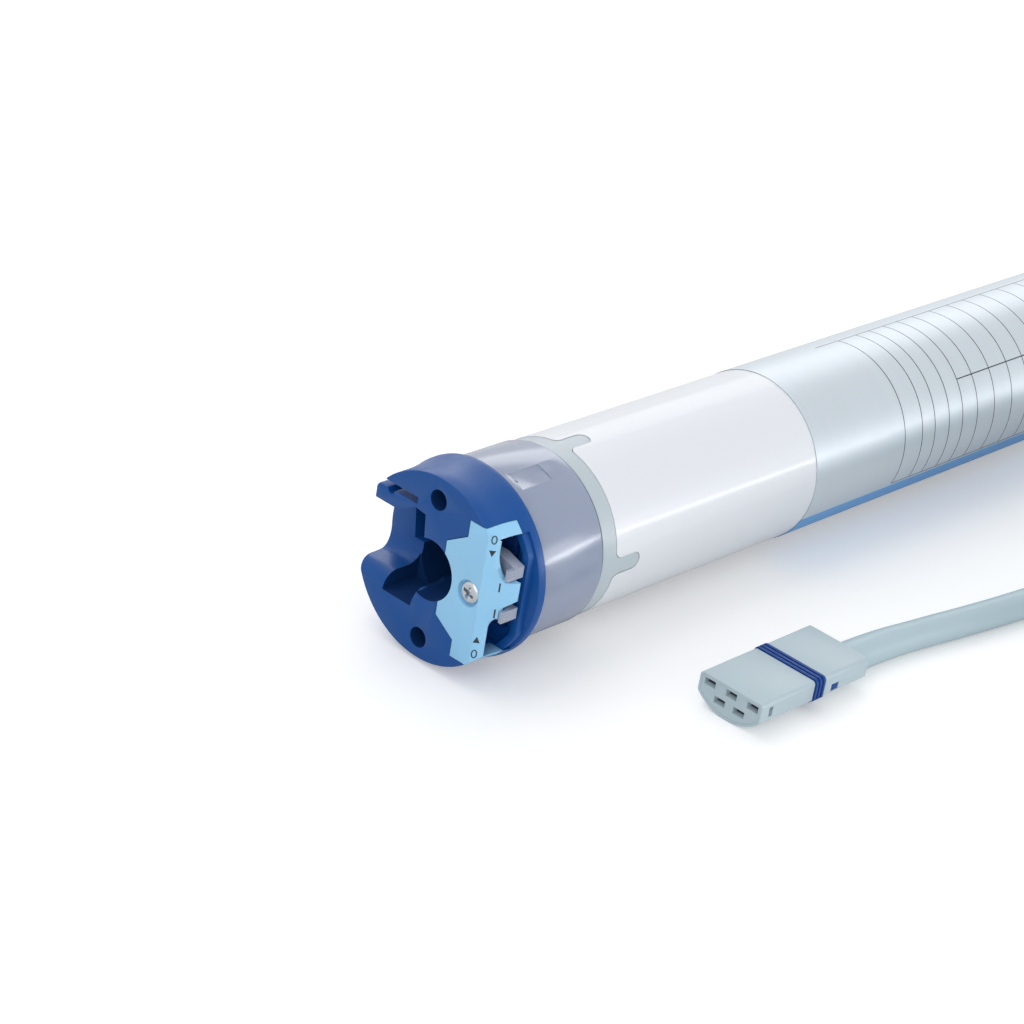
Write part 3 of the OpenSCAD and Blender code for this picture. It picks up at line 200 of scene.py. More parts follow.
def moulded(name, shade, roughness, grain=0.35, depth=0.004, mottle=0.025, **values):
    """Moulded plastic: the mould's fine spark-eroded grain, a slight flow mottle and a satin sheen."""
    made, tree, where = start_material(name)
    flow = add_node(tree, "ShaderNodeTexNoise", features(where, 9, 3))[0]
    sheen = add_node(tree, "ShaderNodeTexNoise", features(where, 3))[0]
    skin = add_node(tree, "ShaderNodeTexNoise", features(where, grain, 2, 0.6))[0]
    close_material(tree, flow, shades(shade, mottle), sheen, around(roughness, 0.03), skin, depth, **values)
    return made


def turned(name, shade, roughness, feed=0.35, depth=0.004):
    """Turned or ground metal: fine rings of the tool's feed round the motor axis."""
    made, tree, where = start_material(name)
    x, y, z = add_node(tree, "ShaderNodeSeparateXYZ", {"Vector": where})
    across = add_node(tree, "ShaderNodeCombineXYZ", {"X": y, "Y": z})[0]
    radius = add_node(tree, "ShaderNodeVectorMath", {0: across}, operation="LENGTH")["Value"]
    lathe = add_node(tree, "ShaderNodeCombineXYZ", {"X": x, "Y": radius})[0]
    rings = add_node(tree, "ShaderNodeTexNoise", features(lathe, feed, 2, 0.4))[0]
    stain = add_node(tree, "ShaderNodeTexNoise", features(where, 7, 3))[0]
    close_material(
        tree, stain, shades(shade, 0.05), rings, around(roughness, 0.06), rings, depth, Metallic=1.0
    )
    return made


def striped(name, shade, roughness, pitch, contrast, depth):
    """Layers or strands laid side by side, such as stacked sheet or wound wire.

    One wave is about six pitches long, because the real pitch is too fine to show.
    """
    made, tree, where = start_material(name)
    layers = add_node(
        tree, "ShaderNodeTexWave",
        {"Vector": where, "Scale": 1 / (pitch * MM) / WAVE_RATE, "Distortion": 0.15, "Detail": 1},
        bands_direction="X",
    )["Fac"]
    sheen = add_node(tree, "ShaderNodeTexNoise", features(where, 2))[0]
    close_material(
        tree, layers, shades(shade, contrast), sheen, around(roughness, 0.05), layers, depth, Metallic=1.0
    )
    return made


def pebbled(name, shade, roughness, cell, depth, mottle, **values):
    """Foam, sintered or cast skin: open cells or grains of one size."""
    made, tree, where = start_material(name)
    cells = add_node(
        tree, "ShaderNodeTexVoronoi", {"Vector": where, "Scale": 1 / (cell * MM)}
    )["Distance"]
    sheen = add_node(tree, "ShaderNodeTexNoise", features(where, 4))[0]
    close_material(
        tree, cells, shades(shade, mottle), sheen, around(roughness, 0.04), cells, depth, **values
    )
    return made


def lacquered_tube(shade):
    """Drawn steel tube under pale satin lacquer: a soft orange peel, and a clear skin with one thin gleam."""
    made, tree, where = start_material("Satin lacquer on drawn steel tube")
    drawn = add_node(tree, "ShaderNodeMapping", {"Vector": where, "Scale": (0.02, 1, 1)})[0]
    streaks = add_node(tree, "ShaderNodeTexNoise", features(drawn, 5, 3))[0]
    peel = add_node(tree, "ShaderNodeTexNoise", features(where, 2.6))[0]
    close_material(
        tree, streaks, shades(shade, 0.01), peel, (0.5, 0.56), peel, 0.0006,
        **{"Metallic": 0.05, "Coat Weight": 0.3, "Coat Roughness": 0.14},
    )
    return made


# Print on the label: distances from the head in mm, and angles round the tube from its side in degrees
RULES = (120.6, 126.6, 131.0, 136.0, 140.8, 146.1, 152.3, 158.7, 164.6, 170.9, 177.4, 184.0, 190.6)
LINES = ((-22.5, 120.6), (39.5, 140.8), (103.0, 113.0))
BAND = (-100, -24.8)


def patches(tree, along, angle, boxes):
    """1 inside any of the boxes on the unrolled label, each a range of distances and one of angles."""
    total = 0.0
    for box in boxes:
        inside = [
            add_node(tree, "ShaderNodeMath", {0: place, 1: (low + high) / 2, 2: (high - low) / 2},
                     operation="COMPARE")[0]
            for place, (low, high) in zip((along, angle), box)
        ]
        both = add_node(tree, "ShaderNodeMath", dict(enumerate(inside)), operation="MULTIPLY")[0]
        total = add_node(tree, "ShaderNodeMath", {0: total, 1: both}, operation="MAXIMUM")[0]
    return total


def printed_foil(shade, ink, band, rule_w):
    """Silver polyester foil with a fine brushed grain, printed with a ruled table and a blue band.

    The lines follow the foil round the tube, by their distance from the head and their angle from the side.
    """
    made, tree, where = start_material("Printed silver label foil")
    along, y, z = add_node(tree, "ShaderNodeSeparateXYZ", {"Vector": where})
    side = add_node(tree, "ShaderNodeMath", {0: y, 1: -1.0}, operation="MULTIPLY")[0]
    angle = add_node(tree, "ShaderNodeMath", {0: z, 1: side}, operation="ARCTAN2")[0]
    half = rule_w / 2
    wrap = math.radians(LINES[0][0]), math.radians(LINES[-1][0])
    boxes = [(around(station * MM, half), wrap) for station in RULES]
    boxes += [
        ((start * MM, RULES[-1] * MM), around(math.radians(degrees), half / TUBE_R))
        for degrees, start in LINES
    ]
    ruled = patches(tree, along, angle, boxes)
    banded = patches(tree, along, angle, [((-1, 1), [math.radians(degrees) for degrees in BAND])])
    brushed = add_node(tree, "ShaderNodeMapping", {"Vector": where, "Scale": (1, 0.04, 0.04)})[0]
    grain = add_node(tree, "ShaderNodeTexNoise", features(brushed, 0.25))[0]
    tone = add_node(tree, "ShaderNodeTexNoise", features(brushed, 2.5))[0]
    dark, light = shades(shade, 0.03)
    foil = add_node(tree, "ShaderNodeMix", {0: tone, 6: dark, 7: light}, data_type="RGBA")[2]
    plain = add_node(tree, "ShaderNodeMix", {0: banded, 6: foil, 7: tint(band)}, data_type="RGBA")[2]
    close_material(
        tree, ruled, (plain, tint(ink)), grain, (0.4, 0.46), grain, 0.0002,
        **{"Metallic": 0.3, "Coat Weight": 0.15, "Coat Roughness": 0.2},
    )
    return made


def smoky_plastic(shade):
    """Clear acetal tinted grey: light sinks into it and its skin is glossy."""
    made, tree, where = start_material("Translucent smoke-grey acetal")
    haze = add_node(tree, "ShaderNodeTexNoise", features(where, 8, 3))[0]
    sheen = add_node(tree, "ShaderNodeTexNoise", features(where, 2.5))[0]
    skin = add_node(tree, "ShaderNodeTexNoise", features(where, 0.5))[0]
    close_material(
        tree, haze, shades(shade, 0.02), sheen, (0.2, 0.25), skin, 0.0015,
        **{"Transmission Weight": 0.08, "Subsurface Weight": 0.25, "Subsurface Radius": (0.6, 0.8, 1.0),
           "Subsurface Scale": 0.0015, "Coat Weight": 0.25, "Coat Roughness": 0.12, "IOR": 1.48},
    )
    return made


def solder_mask(shade, lanes_share):
    """Tinted lacquer over glass laminate, with the copper tracks showing through as paler lanes."""
    made, tree, where = start_material("Lacquered glass laminate")
    lanes = add_node(
        tree, "ShaderNodeTexBrick",
        {"Vector": where, "Scale": 1 / (LANE_UNIT * MM),
         "Mortar Size": 0.06, "Brick Width": 1.6, "Row Height": 0.5},
    )["Fac"]
    sheen = add_node(tree, "ShaderNodeTexNoise", features(where, 1.5))[0]
    close_material(
        tree, lanes, (tint(shade), tint(shade, lanes_share)), sheen, (0.25, 0.32), lanes, 0.01, IOR=1.5
    )
    return made


# Modelling helpers

# Angles in degrees: faces that make up one flat face, edges that are rounded, and shading of rounded copies
FLAT_ANGLE = 0.5
EDGE_ANGLE = 40
SHADE_ANGLE = 30


def clear_selection():
    """Leaves edit mode and deselects everything."""
    if bpy.context.object and bpy.context.object.mode != "OBJECT":
        bpy.ops.object.mode_set(mode="OBJECT")
    bpy.ops.object.select_all(action="DESELECT")


def pick(made):
    """Makes one object the only selected and active one."""
    clear_selection()
    made.select_set(True)
    bpy.context.view_layer.objects.active = made


def paint_over(made, material):
    """Makes a material the only one of a piece."""
    made.data.materials.clear()
    made.data.materials.append(material)


def settle(made, name, material, body, smooth=35):
    """Applies a piece's place to its mesh, smooths it, and rides it on its body."""
    pick(made)
    bpy.ops.object.transform_apply(location=True, rotation=True, scale=True)
    bpy.ops.object.mode_set(mode="EDIT")
    bpy.ops.mesh.select_all(action="SELECT")
    bpy.ops.mesh.remove_doubles(threshold=1e-6)
    bpy.ops.mesh.normals_make_consistent(inside=False)
    bpy.ops.object.mode_set(mode="OBJECT")
    bpy.ops.object.shade_smooth_by_angle(angle=math.radians(smooth))
    made.name = made.data.name = name
    if material:
        paint_over(made, material)
    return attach(made, body)


def finish_nodes(material, names):
    """Gives the CAD nodes of a list their material."""
    for name in names.split():
        data = NODES[name].data
        if not data.materials:
            data.materials.append(material)
        for i in range(len(data.materials)):
            data.materials[i] = material


def rounded_copy(node, name, material, body, radius, segments=2):
    """Copy of a CAD solid that stands for it, with the edges rounded as a mould or tool leaves them."""
    made = bpy.data.objects.new(name, NODES[node].data.copy())
    bpy.context.scene.collection.objects.link(made)
    pick(made)
    bpy.ops.object.mode_set(mode="EDIT")
    bpy.ops.mesh.select_all(action="SELECT")
    bpy.ops.mesh.remove_doubles(threshold=2e-6)
    bpy.ops.mesh.dissolve_limited(angle_limit=math.radians(FLAT_ANGLE))
    bpy.ops.object.mode_set(mode="OBJECT")
    bevel = made.modifiers.new("Edges", "BEVEL")
    bevel.width = radius
    bevel.segments = segments
    bevel.limit_method = "ANGLE"
    bevel.angle_limit = math.radians(EDGE_ANGLE)
    bevel.use_clamp_overlap = True
    bpy.ops.object.modifier_apply(modifier=bevel.name)
    bpy.ops.object.shade_smooth_by_angle(angle=math.radians(SHADE_ANGLE))
    paint_over(made, material)
    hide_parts(node)
    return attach(made, body)


# Camera and cable

# Camera, from a fit to the photograph's circles: place in mm, its right and forward axes, and lens in mm
CAMERA_PLACE = (-359.5, -314.3, 256.6)
CAMERA_RIGHT = (0.6854, -0.7136, 0.146)
CAMERA_FORWARD = (0.6875, 0.5682, -0.4528)
LENS = 105.47


class MOTOR_OT_camera(bpy.types.Operator):
    """Camera that sees the motor as the photograph does"""

    bl_idname = "blind_motor.camera"
    bl_label = "Camera"

    def execute(self, context):
        forward = Vector(CAMERA_FORWARD).normalized()
        right = Vector(CAMERA_RIGHT)
        right = (right - forward * right.dot(forward)).normalized()
        up = right.cross(forward)
        clear_selection()
        bpy.ops.object.camera_add(location=Vector(CAMERA_PLACE) * MM)
        made = context.object
        made.name = "Photo camera"
        made.rotation_euler = Matrix((right, up, -forward)).transposed().to_euler()
        made.data.sensor_width = 36
        made.data.lens = LENS
        made.data.clip_start = 0.02
        context.scene.camera = made
        return {"FINISHED"}


# Route of the cable's centre line in mm, seen from above; each tail point has its share of the coil's height
CABLE_Z = -16.1
LEAD = (
    (66.1, -47.8), (72, -47.9), (80, -48.5), (90, -49.9), (101, -51.7), (112, -53.3),
    (123, -54.5), (134, -54.9), (145, -54.6), (157, -53.9), (168, -53.5), (174, -53.5),
)
TAIL = (
    (186, -53.5, 1), (196, -53.2, 0.96), (207, -52.8, 0.76), (218, -52.8, 0.46),
    (229, -53.4, 0.18), (240, -54.4, 0.03), (251, -55.7, 0), (262, -57.2, 0),
)
COIL_X = 180
COIL_R_IN = 27.5
COIL_STEP = 6.45
COIL_LAYERS = 4
COIL_RINGS = 24


def cable_route(turns):
    """Points of the whole cable in metres: from the connector, round the coil and down to the bare end."""
    coil_r_out = COIL_R_IN + turns * COIL_STEP
    coil_y = LEAD[-1][1] - coil_r_out
    top = (COIL_LAYERS - 1) * COIL_STEP
    points = [(x, y, CABLE_Z) for x, y in LEAD]
    for i in range(turns * COIL_LAYERS * COIL_RINGS + 1):
        degrees = i * 360 / COIL_RINGS
        share = min(degrees, turns * COIL_LAYERS * 360 - 0.01) / 360 / turns
        layer = math.floor(share)
        inward = share - layer if layer % 2 == 0 else 1 - (share - layer)
        radius = COIL_R_IN + (1 - inward) * turns * COIL_STEP
        climb = sum(min(1, max(0, (degrees - k * turns * 360 + 90) / 180)) for k in range(1, COIL_LAYERS))
        a = math.radians(degrees)
        place = COIL_X + radius * math.sin(a), coil_y + radius * math.cos(a)
        points.append((*place, CABLE_Z + COIL_STEP * climb))
    points += [(x, y, CABLE_Z + share * top) for x, y, share in TAIL]
    return [Vector(p) * MM for p in points]


def soft_curve(name, points, radius, sides=6, steps=4, taper=None):
    """One smooth open spline with a round section, swelled at each point by its share in taper."""
    data = bpy.data.curves.new(name, "CURVE")
    data.dimensions = "3D"
    data.resolution_u = data.render_resolution_u = steps
    data.bevel_depth = radius
    data.bevel_resolution = sides
    data.use_fill_caps = True
    spline = data.splines.new("BEZIER")
    spline.bezier_points.add(len(points) - 1)
    for i, (place, point) in enumerate(zip(points, spline.bezier_points)):
        point.co = place
        point.handle_left_type = point.handle_right_type = "AUTO"
        point.radius = taper[i] if taper else 1
    made = bpy.data.objects.new(name, data)
    bpy.context.scene.collection.objects.link(made)
    return made


# Share of the earth core's girth that is yellow
STRIPE = 0.38


def earth_core(green, yellow):
    """Insulation in green with a yellow stripe along one side."""
    made, tree, where = start_material("Earth core insulation")
    along = add_node(tree, "ShaderNodeUVMap")[0]
    round_core = add_node(tree, "ShaderNodeSeparateXYZ", {"Vector": along})["Y"]
    stripe = add_node(tree, "ShaderNodeMath", {0: round_core, 1: STRIPE}, operation="LESS_THAN")[0]
    sheen = add_node(tree, "ShaderNodeTexNoise", features(where, 1))[0]
    skin = add_node(tree, "ShaderNodeTexNoise", features(where, 0.3))[0]
    close_material(
        tree, stripe, (tint(linear(green)), tint(linear(yellow))), sheen, (0.33, 0.4), skin, 0.002
    )
    return made


# Cores in mm: where each leaves the sheath, sideways and up, its lane on the floor, and how far they reach
CORE_STARTS = ((-1.2, 1.2), (1.2, 1.2), (-1.2, -1.2), (1.2, -1.2))
CORE_LANES = (-5.4, 1.7, -1.7, 5.4)
CORE_REACH = 30
CORE_SHARES = (0, 0.12, 0.35, 0.6, 0.82, 1)
# Share of the cable's thickness at which the sleeve ends, hidden inside it
SLEEVE_END = 0.97


def ease(share, low, high):
    """Smooth step from 0 to 1 between two shares of the way."""
    q = min(1, max(0, (share - low) / (high - low)))
    return q * q * (3 - 2 * q)


def core_route(i, heading, core_r):
    """Points of one core, from inside the sheath to its place on the floor."""
    start = Vector((TAIL[-1][0], TAIL[-1][1], CABLE_Z))
    side = Vector((-heading.y, heading.x, 0))
    floor = (FLOOR_Z + core_r) / MM
    points = []
    for share in CORE_SHARES:
        out, drop = ease(share, 0.12, 0.6), ease(share, 0.3, 0.82)
        offset = CORE_STARTS[i][0] * (1 - out) + CORE_LANES[i] * out
        height = CORE_STARTS[i][1] * (1 - drop) + (floor - CABLE_Z) * drop
        points.append(start + heading * (CORE_REACH * share) + side * offset + Vector((0, 0, height)))
    return [p * MM for p in points]


# Coil tie in mm: how far it stands off the cable, its corners and wall, and its lock's place and size
TIE_STAND = 1.3
TIE_CORNER = 3.2
TIE_WALL = 1.1
LOCK_SHIFT = (0.6, 9)
LOCK_SIZE = (4.2, 6.2, 5.4)


class MOTOR_OT_cable(bpy.types.Operator):
    """Cable with its sleeve, coil tie and four bare-ended cores"""

    bl_idname = "blind_motor.cable"
    bl_label = "Cable"

    def execute(self, context):
        size, paint = sizes(), colours()
        radius = size.cable_d / 2
        sheath = moulded(
            "Extruded soft vinyl sheath", paint.sheath, 0.42, grain=0.5, depth=0.006, mottle=0.02,
            **{"Subsurface Weight": 0.05, "Subsurface Radius": (1, 1, 1), "Subsurface Scale": 0.001},
        )
        route = cable_route(size.coil_turns)
        cable = soft_curve("cable", route, radius)
        cable.data.materials.append(sheath)
        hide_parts("cable_lead", "cable_coil", "cable_tail")
        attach(cable, "motor_body")

        sleeve = self.sleeve(size, route, sheath)
        cores = self.cores(size, (route[-1] - route[-2]).normalized())
        tie = self.tie(size)
        return {"FINISHED"}

    def sleeve(self, size, route, material):
        """Tapered sleeve where the sheath enters the connector, flat where it rests on the floor."""
        reach = [(p - route[0]).length / size.sleeve_len for p in route]
        last = next(i for i, share in enumerate(reach) if share > 1) + 1
        swell = size.sleeve_swell / size.cable_d * 2
        taper = [1 + swell * (1 - share) if share < 1 else SLEEVE_END for share in reach[:last + 1]]
        made = soft_curve("sleeve", route[:last + 1], size.cable_d / 2, 10, 8, taper)
        pick(made)
        bpy.ops.object.convert(target="MESH")
        made = bpy.context.object
        bpy.ops.object.mode_set(mode="EDIT")
        bpy.ops.mesh.select_all(action="SELECT")
        bpy.ops.mesh.bisect(
            plane_co=(0, 0, FLOOR_Z + 0.01 * MM), plane_no=(0, 0, 1), use_fill=True, clear_inner=True
        )
        bpy.ops.object.mode_set(mode="OBJECT")
        return settle(made, "cable_sleeve", material, "motor_body")

    def cores(self, size, heading):
        """Blue, brown, black and earth core, joined into one piece."""
        radius = size.core_d / 2
        paints = [moulded("Core insulation", linear(code), 0.36, grain=0.4, depth=0.002)
                  for code in ("#2B66B1", "#6B4426", "#26282B")]
        paints.append(earth_core("#5E8F2C", "#D8C43A"))
        made = []
        for i, paint in enumerate(paints):
            core = soft_curve(f"core_{i + 1}", core_route(i, heading, radius), radius, 4, 6)
            core.data.materials.append(paint)
            pick(core)
            bpy.ops.object.convert(target="MESH")
            made.append(bpy.context.object)
        clear_selection()
        for core in made:
            core.select_set(True)
        bpy.context.view_layer.objects.active = made[0]
        bpy.ops.object.join()
        joined = bpy.context.object
        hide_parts("cable_cores")
        return settle(joined, "cable_cores_fanned", None, "motor_body")

    def tie(self, size):
        """Cable tie round the coil's turns: a strap and its lock."""
        coil_r_out = COIL_R_IN + size.coil_turns * COIL_STEP
        middle = Vector((COIL_X, LEAD[-1][1] - coil_r_out, 0)) * MM
        clear = size.cable_d / 2 + TIE_STAND * MM
        high = (CABLE_Z + (COIL_LAYERS - 1) * COIL_STEP) * MM + clear
        inner = COIL_R_IN * MM - clear
        outer = coil_r_out * MM + clear
        place = middle + Vector(((inner + outer) / 2, 0, (FLOOR_Z + high) / 2))
        clear_selection()
        bpy.ops.mesh.primitive_cube_add(size=1, location=place)
        made = bpy.context.object
        made.scale = (outer - inner, size.tie_w, high - FLOOR_Z)
        bpy.ops.object.transform_apply(location=True, rotation=True, scale=True)
        bpy.ops.object.mode_set(mode="EDIT")
        bpy.ops.mesh.select_all(action="DESELECT")
        bpy.ops.object.mode_set(mode="OBJECT")
        for edge in made.data.edges:
            a, b = (made.data.vertices[v].co for v in edge.vertices)
            edge.select = abs(a.y - b.y) > size.tie_w / 2
        bpy.ops.object.mode_set(mode="EDIT")
        bpy.ops.mesh.select_mode(type="EDGE")
        bpy.ops.mesh.bevel(offset=TIE_CORNER * MM, segments=6, profile=0.5)
        bpy.ops.mesh.select_mode(type="FACE")
        bpy.ops.mesh.select_all(action="DESELECT")
        bpy.ops.object.mode_set(mode="OBJECT")
        for face in made.data.polygons:
            face.select = abs(face.normal.y) > 0.9
        bpy.ops.object.mode_set(mode="EDIT")
        bpy.ops.mesh.delete(type="FACE")
        bpy.ops.object.mode_set(mode="OBJECT")
        wall = made.modifiers.new("Wall", "SOLIDIFY")
        wall.thickness = TIE_WALL * MM
        wall.offset = -1
        bpy.ops.object.modifier_apply(modifier=wall.name)
        nylon = moulded("Moulded black nylon", linear("#23262B"), 0.4, grain=0.4, depth=0.003)
        out, down = LOCK_SHIFT
        clear_selection()
        place = middle + Vector((outer + out * MM, 0, high - down * MM))
        bpy.ops.mesh.primitive_cube_add(size=1, location=place)
        lock = bpy.context.object
        lock.scale = Vector(LOCK_SIZE) * MM
        bpy.ops.object.transform_apply(location=True, rotation=True, scale=True)
        bpy.ops.object.mode_set(mode="EDIT")
        bpy.ops.mesh.select_all(action="SELECT")
        bpy.ops.mesh.bevel(offset=0.5 * MM, segments=2)
        bpy.ops.object.mode_set(mode="OBJECT")
        clear_selection()
        made.select_set(True)
        lock.select_set(True)
        bpy.context.view_layer.objects.active = made
        bpy.ops.object.join()
        return settle(bpy.context.object, "coil_tie", nylon, "motor_body")


# Head end

# Reach of the painted shade in the bore, the two screw holes and the connector's socket, in mm, each a little
# past its walls
BORE_R = 6.35
SCREW_Z = 14.2
SCREW_R = 2.3
BORE_X = (0.6, 24.5)
SCREW_X = (0.3, 24.5)
SOCKET_LOW = (0.4, 3.0, -9.2)
SOCKET_HIGH = (29.5, 10.6, 5.8)


class MOTOR_OT_head(bpy.types.Operator):
    """Moulded head with its rounded edges, and painted shade: darker, matt faces in its bore, screw holes and
    socket
    """

    bl_idname = "blind_motor.head"
    bl_label = "Head"

    def execute(self, context):
        paint = colours()
        plastic = moulded(
            "Moulded blue polyamide", paint.head, 0.36, grain=0.3, depth=0.003, mottle=0.02,
            **{"Specular IOR Level": 0.3},
        )
        # Painted shade: this matt material's darker blue stands for the shade deep in the bore, the screw
        # holes and the socket
        matt = moulded(
            "Painted shade on matt polyamide", paint.socket, 0.6, grain=0.3, mottle=0.04,
            **{"Specular IOR Level": 0.1},
        )
        made = rounded_copy(
            "motor_head", "head_moulding", plastic, "motor_body", sizes().edge_r
        )
        made.data.materials.append(matt)
        # Faces inside the bore, the screw holes and the socket take the painted shade
        for face in made.data.polygons:
            x, y, z = face.center / MM
            in_bore = BORE_X[0] < x < BORE_X[1] and math.hypot(y, z) < BORE_R
            in_hole = SCREW_X[0] < x < SCREW_X[1] and math.hypot(y, abs(z) - SCREW_Z) < SCREW_R
            in_socket = all(low < c < high for low, c, high in zip(SOCKET_LOW, (x, y, z), SOCKET_HIGH))
            if in_bore or in_hole or in_socket:
                face.material_index = 1
        return {"FINISHED"}


# Printed marks: name, sign, and the place in mm along the slope of the panel's fold and up
MARKS = (
    ("mark_open_upper", "O", 1.08, 12.33), ("mark_arrow_upper", "down", 1.06, 9.75),
    ("mark_closed_upper", "I", 3.35, 2.95), ("mark_closed_lower", "I", 3.2, -2.42),
    ("mark_arrow_lower", "up", 0.78, -8.35), ("mark_open_lower", "O", 0.72, -11.1),
)
# Where the fold starts, the stroke of the O, and how deep a mark's lower face lies in the panel, in mm
FOLD_Y = -12.9
STROKE = 0.22
SUNK = 0.01
# Width of each sign and size of the triangles, as shares of the marks' height
SIGN_WIDTHS = {"O": 0.62, "I": 0.16, "up": 0.85, "down": 0.85}
TRIANGLE_SHARE = 0.95


class MOTOR_OT_switch(bpy.types.Operator):
    """Switch panel, its screw, the two limit sliders and the printed marks"""

    bl_idname = "blind_motor.switch"
    bl_label = "Limit switches"

    def execute(self, context):
        paint, size = colours(), sizes()
        plastic = moulded(
            "Moulded light-blue acetal", paint.panel, 0.34, grain=0.3, depth=0.002, mottle=0.015,
            **{"Subsurface Weight": 0.08, "Subsurface Radius": (0.5, 0.8, 1), "Subsurface Scale": 0.001},
        )
        grey = moulded(
            "Moulded grey polycarbonate", paint.slider, 0.35, grain=0.3, depth=0.002, mottle=0.02
        )
        zinc = turned("Zinc plated steel", linear("#C9CDD2"), 0.28, feed=0.2, depth=0.001)
        rounded_copy("switch_panel", "panel_moulding", plastic, "motor_body", size.edge_r)
        for side in ("upper", "lower"):
            node = f"{side}_limit_slider"
            rounded_copy(node, node + "_moulding", grey, f"{side}_slider", 0.04 * MM, 1)
        rounded_copy("panel_screw", "panel_screw_turned", zinc, "motor_body", 0.06 * MM)
        self.marks(size, paint)
        return {"FINISHED"}

    def marks(self, size, paint):
        """I, O and the two triangles, printed on the panel's fold."""
        ink = moulded("Dark pad-printed ink", paint.ink, 0.45, grain=0.3, depth=0.001)
        slope = Vector((1, -1, 0)).normalized()
        out = Vector((-1, -1, 0)).normalized()
        turn = Matrix((slope, Vector((0, 0, 1)), out)).transposed().to_4x4()
        half = size.mark_h / 2
        for name, kind, along, up in MARKS:
            clear_selection()
            if kind == "O":
                bpy.ops.mesh.primitive_circle_add(vertices=36, radius=half, fill_type="NGON")
            elif kind == "I":
                bpy.ops.mesh.primitive_plane_add(size=2 * half)
            else:
                bpy.ops.mesh.primitive_circle_add(vertices=3, radius=half * TRIANGLE_SHARE, fill_type="NGON")
            made = bpy.context.object
            made.scale = (SIGN_WIDTHS[kind], 1, 1)
            if kind == "down":
                made.rotation_euler = (0, 0, math.pi)
            bpy.ops.object.transform_apply(location=True, rotation=True, scale=True)
            bpy.ops.object.mode_set(mode="EDIT")
            bpy.ops.mesh.select_all(action="SELECT")
            if kind == "O":
                bpy.ops.mesh.inset(thickness=STROKE * MM)
                bpy.ops.mesh.delete(type="FACE")
                bpy.ops.mesh.select_all(action="SELECT")
            bpy.ops.mesh.extrude_region_move(TRANSFORM_OT_translate={"value": (0, 0, size.mark_t)})
            bpy.ops.object.mode_set(mode="OBJECT")
            place = Vector((0, FOLD_Y, up)) + slope * along - out * SUNK
            made.matrix_world = Matrix.Translation(place * MM) @ turn
            settle(made, name, ink, "motor_body")


# Dot in the ring's mark: place along the axis, out from it and round it, and radius, in mm and degrees
DOT_X = 14.25
DOT_OUT = 17.5
DOT_ANGLE = 72.6
DOT_R = 0.35


class MOTOR_OT_ring(bpy.types.Operator):
    """Running ring, its dot, and the collar behind it"""

    bl_idname = "blind_motor.ring"
    bl_label = "Running ring and collar"

    def execute(self, context):
        paint = colours()
        smoke = smoky_plastic(paint.ring)
        rounded_copy(
            "running_ring", "running_ring_moulding", smoke, "running_ring", 0.2 * MM
        )
        collar = moulded(
            "Moulded natural polyamide", paint.collar, 0.4, grain=0.35, depth=0.003, mottle=0.02,
            **{"Subsurface Weight": 0.15, "Subsurface Radius": (1, 1, 0.9), "Subsurface Scale": 0.001},
        )
        finish_nodes(collar, "housing_collar")
        clear_selection()
        bpy.ops.mesh.primitive_uv_sphere_add(segments=16, ring_count=8, radius=DOT_R * MM)
        dot = context.object
        dot.scale = (1, 1, 0.6)
        angle = math.radians(DOT_ANGLE)
        dot.location = Vector((DOT_X, -DOT_OUT * math.cos(angle), DOT_OUT * math.sin(angle))) * MM
        dot.rotation_euler = (math.radians(90 - DOT_ANGLE), 0, 0)
        settle(dot, "ring_dot", smoke, "running_ring", 60)
        return {"FINISHED"}


class MOTOR_OT_tube(bpy.types.Operator):
    """Lacquered tube with its printed foil label"""

    bl_idname = "blind_motor.tube"
    bl_label = "Tube and label"

    def execute(self, context):
        paint = colours()
        foil = printed_foil(paint.foil, paint.ink, paint.band, sizes().rule_w)
        finish_nodes(lacquered_tube(paint.tube), "motor_tube")
        finish_nodes(foil, "rating_label")
        return {"FINISHED"}


class MOTOR_OT_connector(bpy.types.Operator):
    """Flat connector with its seal and tab"""

    bl_idname = "blind_motor.connector"
    bl_label = "Connector"

    def execute(self, context):
        paint = colours()
        shell = moulded(
            "Moulded pale-grey polyamide", paint.connector, 0.42, grain=0.3, depth=0.003, mottle=0.015,
            **{"Subsurface Weight": 0.06, "Subsurface Radius": (1, 1, 1), "Subsurface Scale": 0.001},
        )
        rubber = moulded(
            "Moulded blue silicone", paint.seal, 0.5, grain=0.4, depth=0.003, mottle=0.03,
            **{"Specular IOR Level": 0.3},
        )
        for node, name, material, slot, edge in (
            ("connector_body", "connector_shell", shell, "connector_plastic", 0.12),
            ("connector_seal", "connector_seal_ribbed", rubber, "seal_rubber", 0.12),
            ("connector_tab", "connector_tab_moulded", rubber, "seal_rubber", 0.1),
        ):
            rounded_copy(node, name, material, "motor_body", edge * MM)
        return {"FINISHED"}


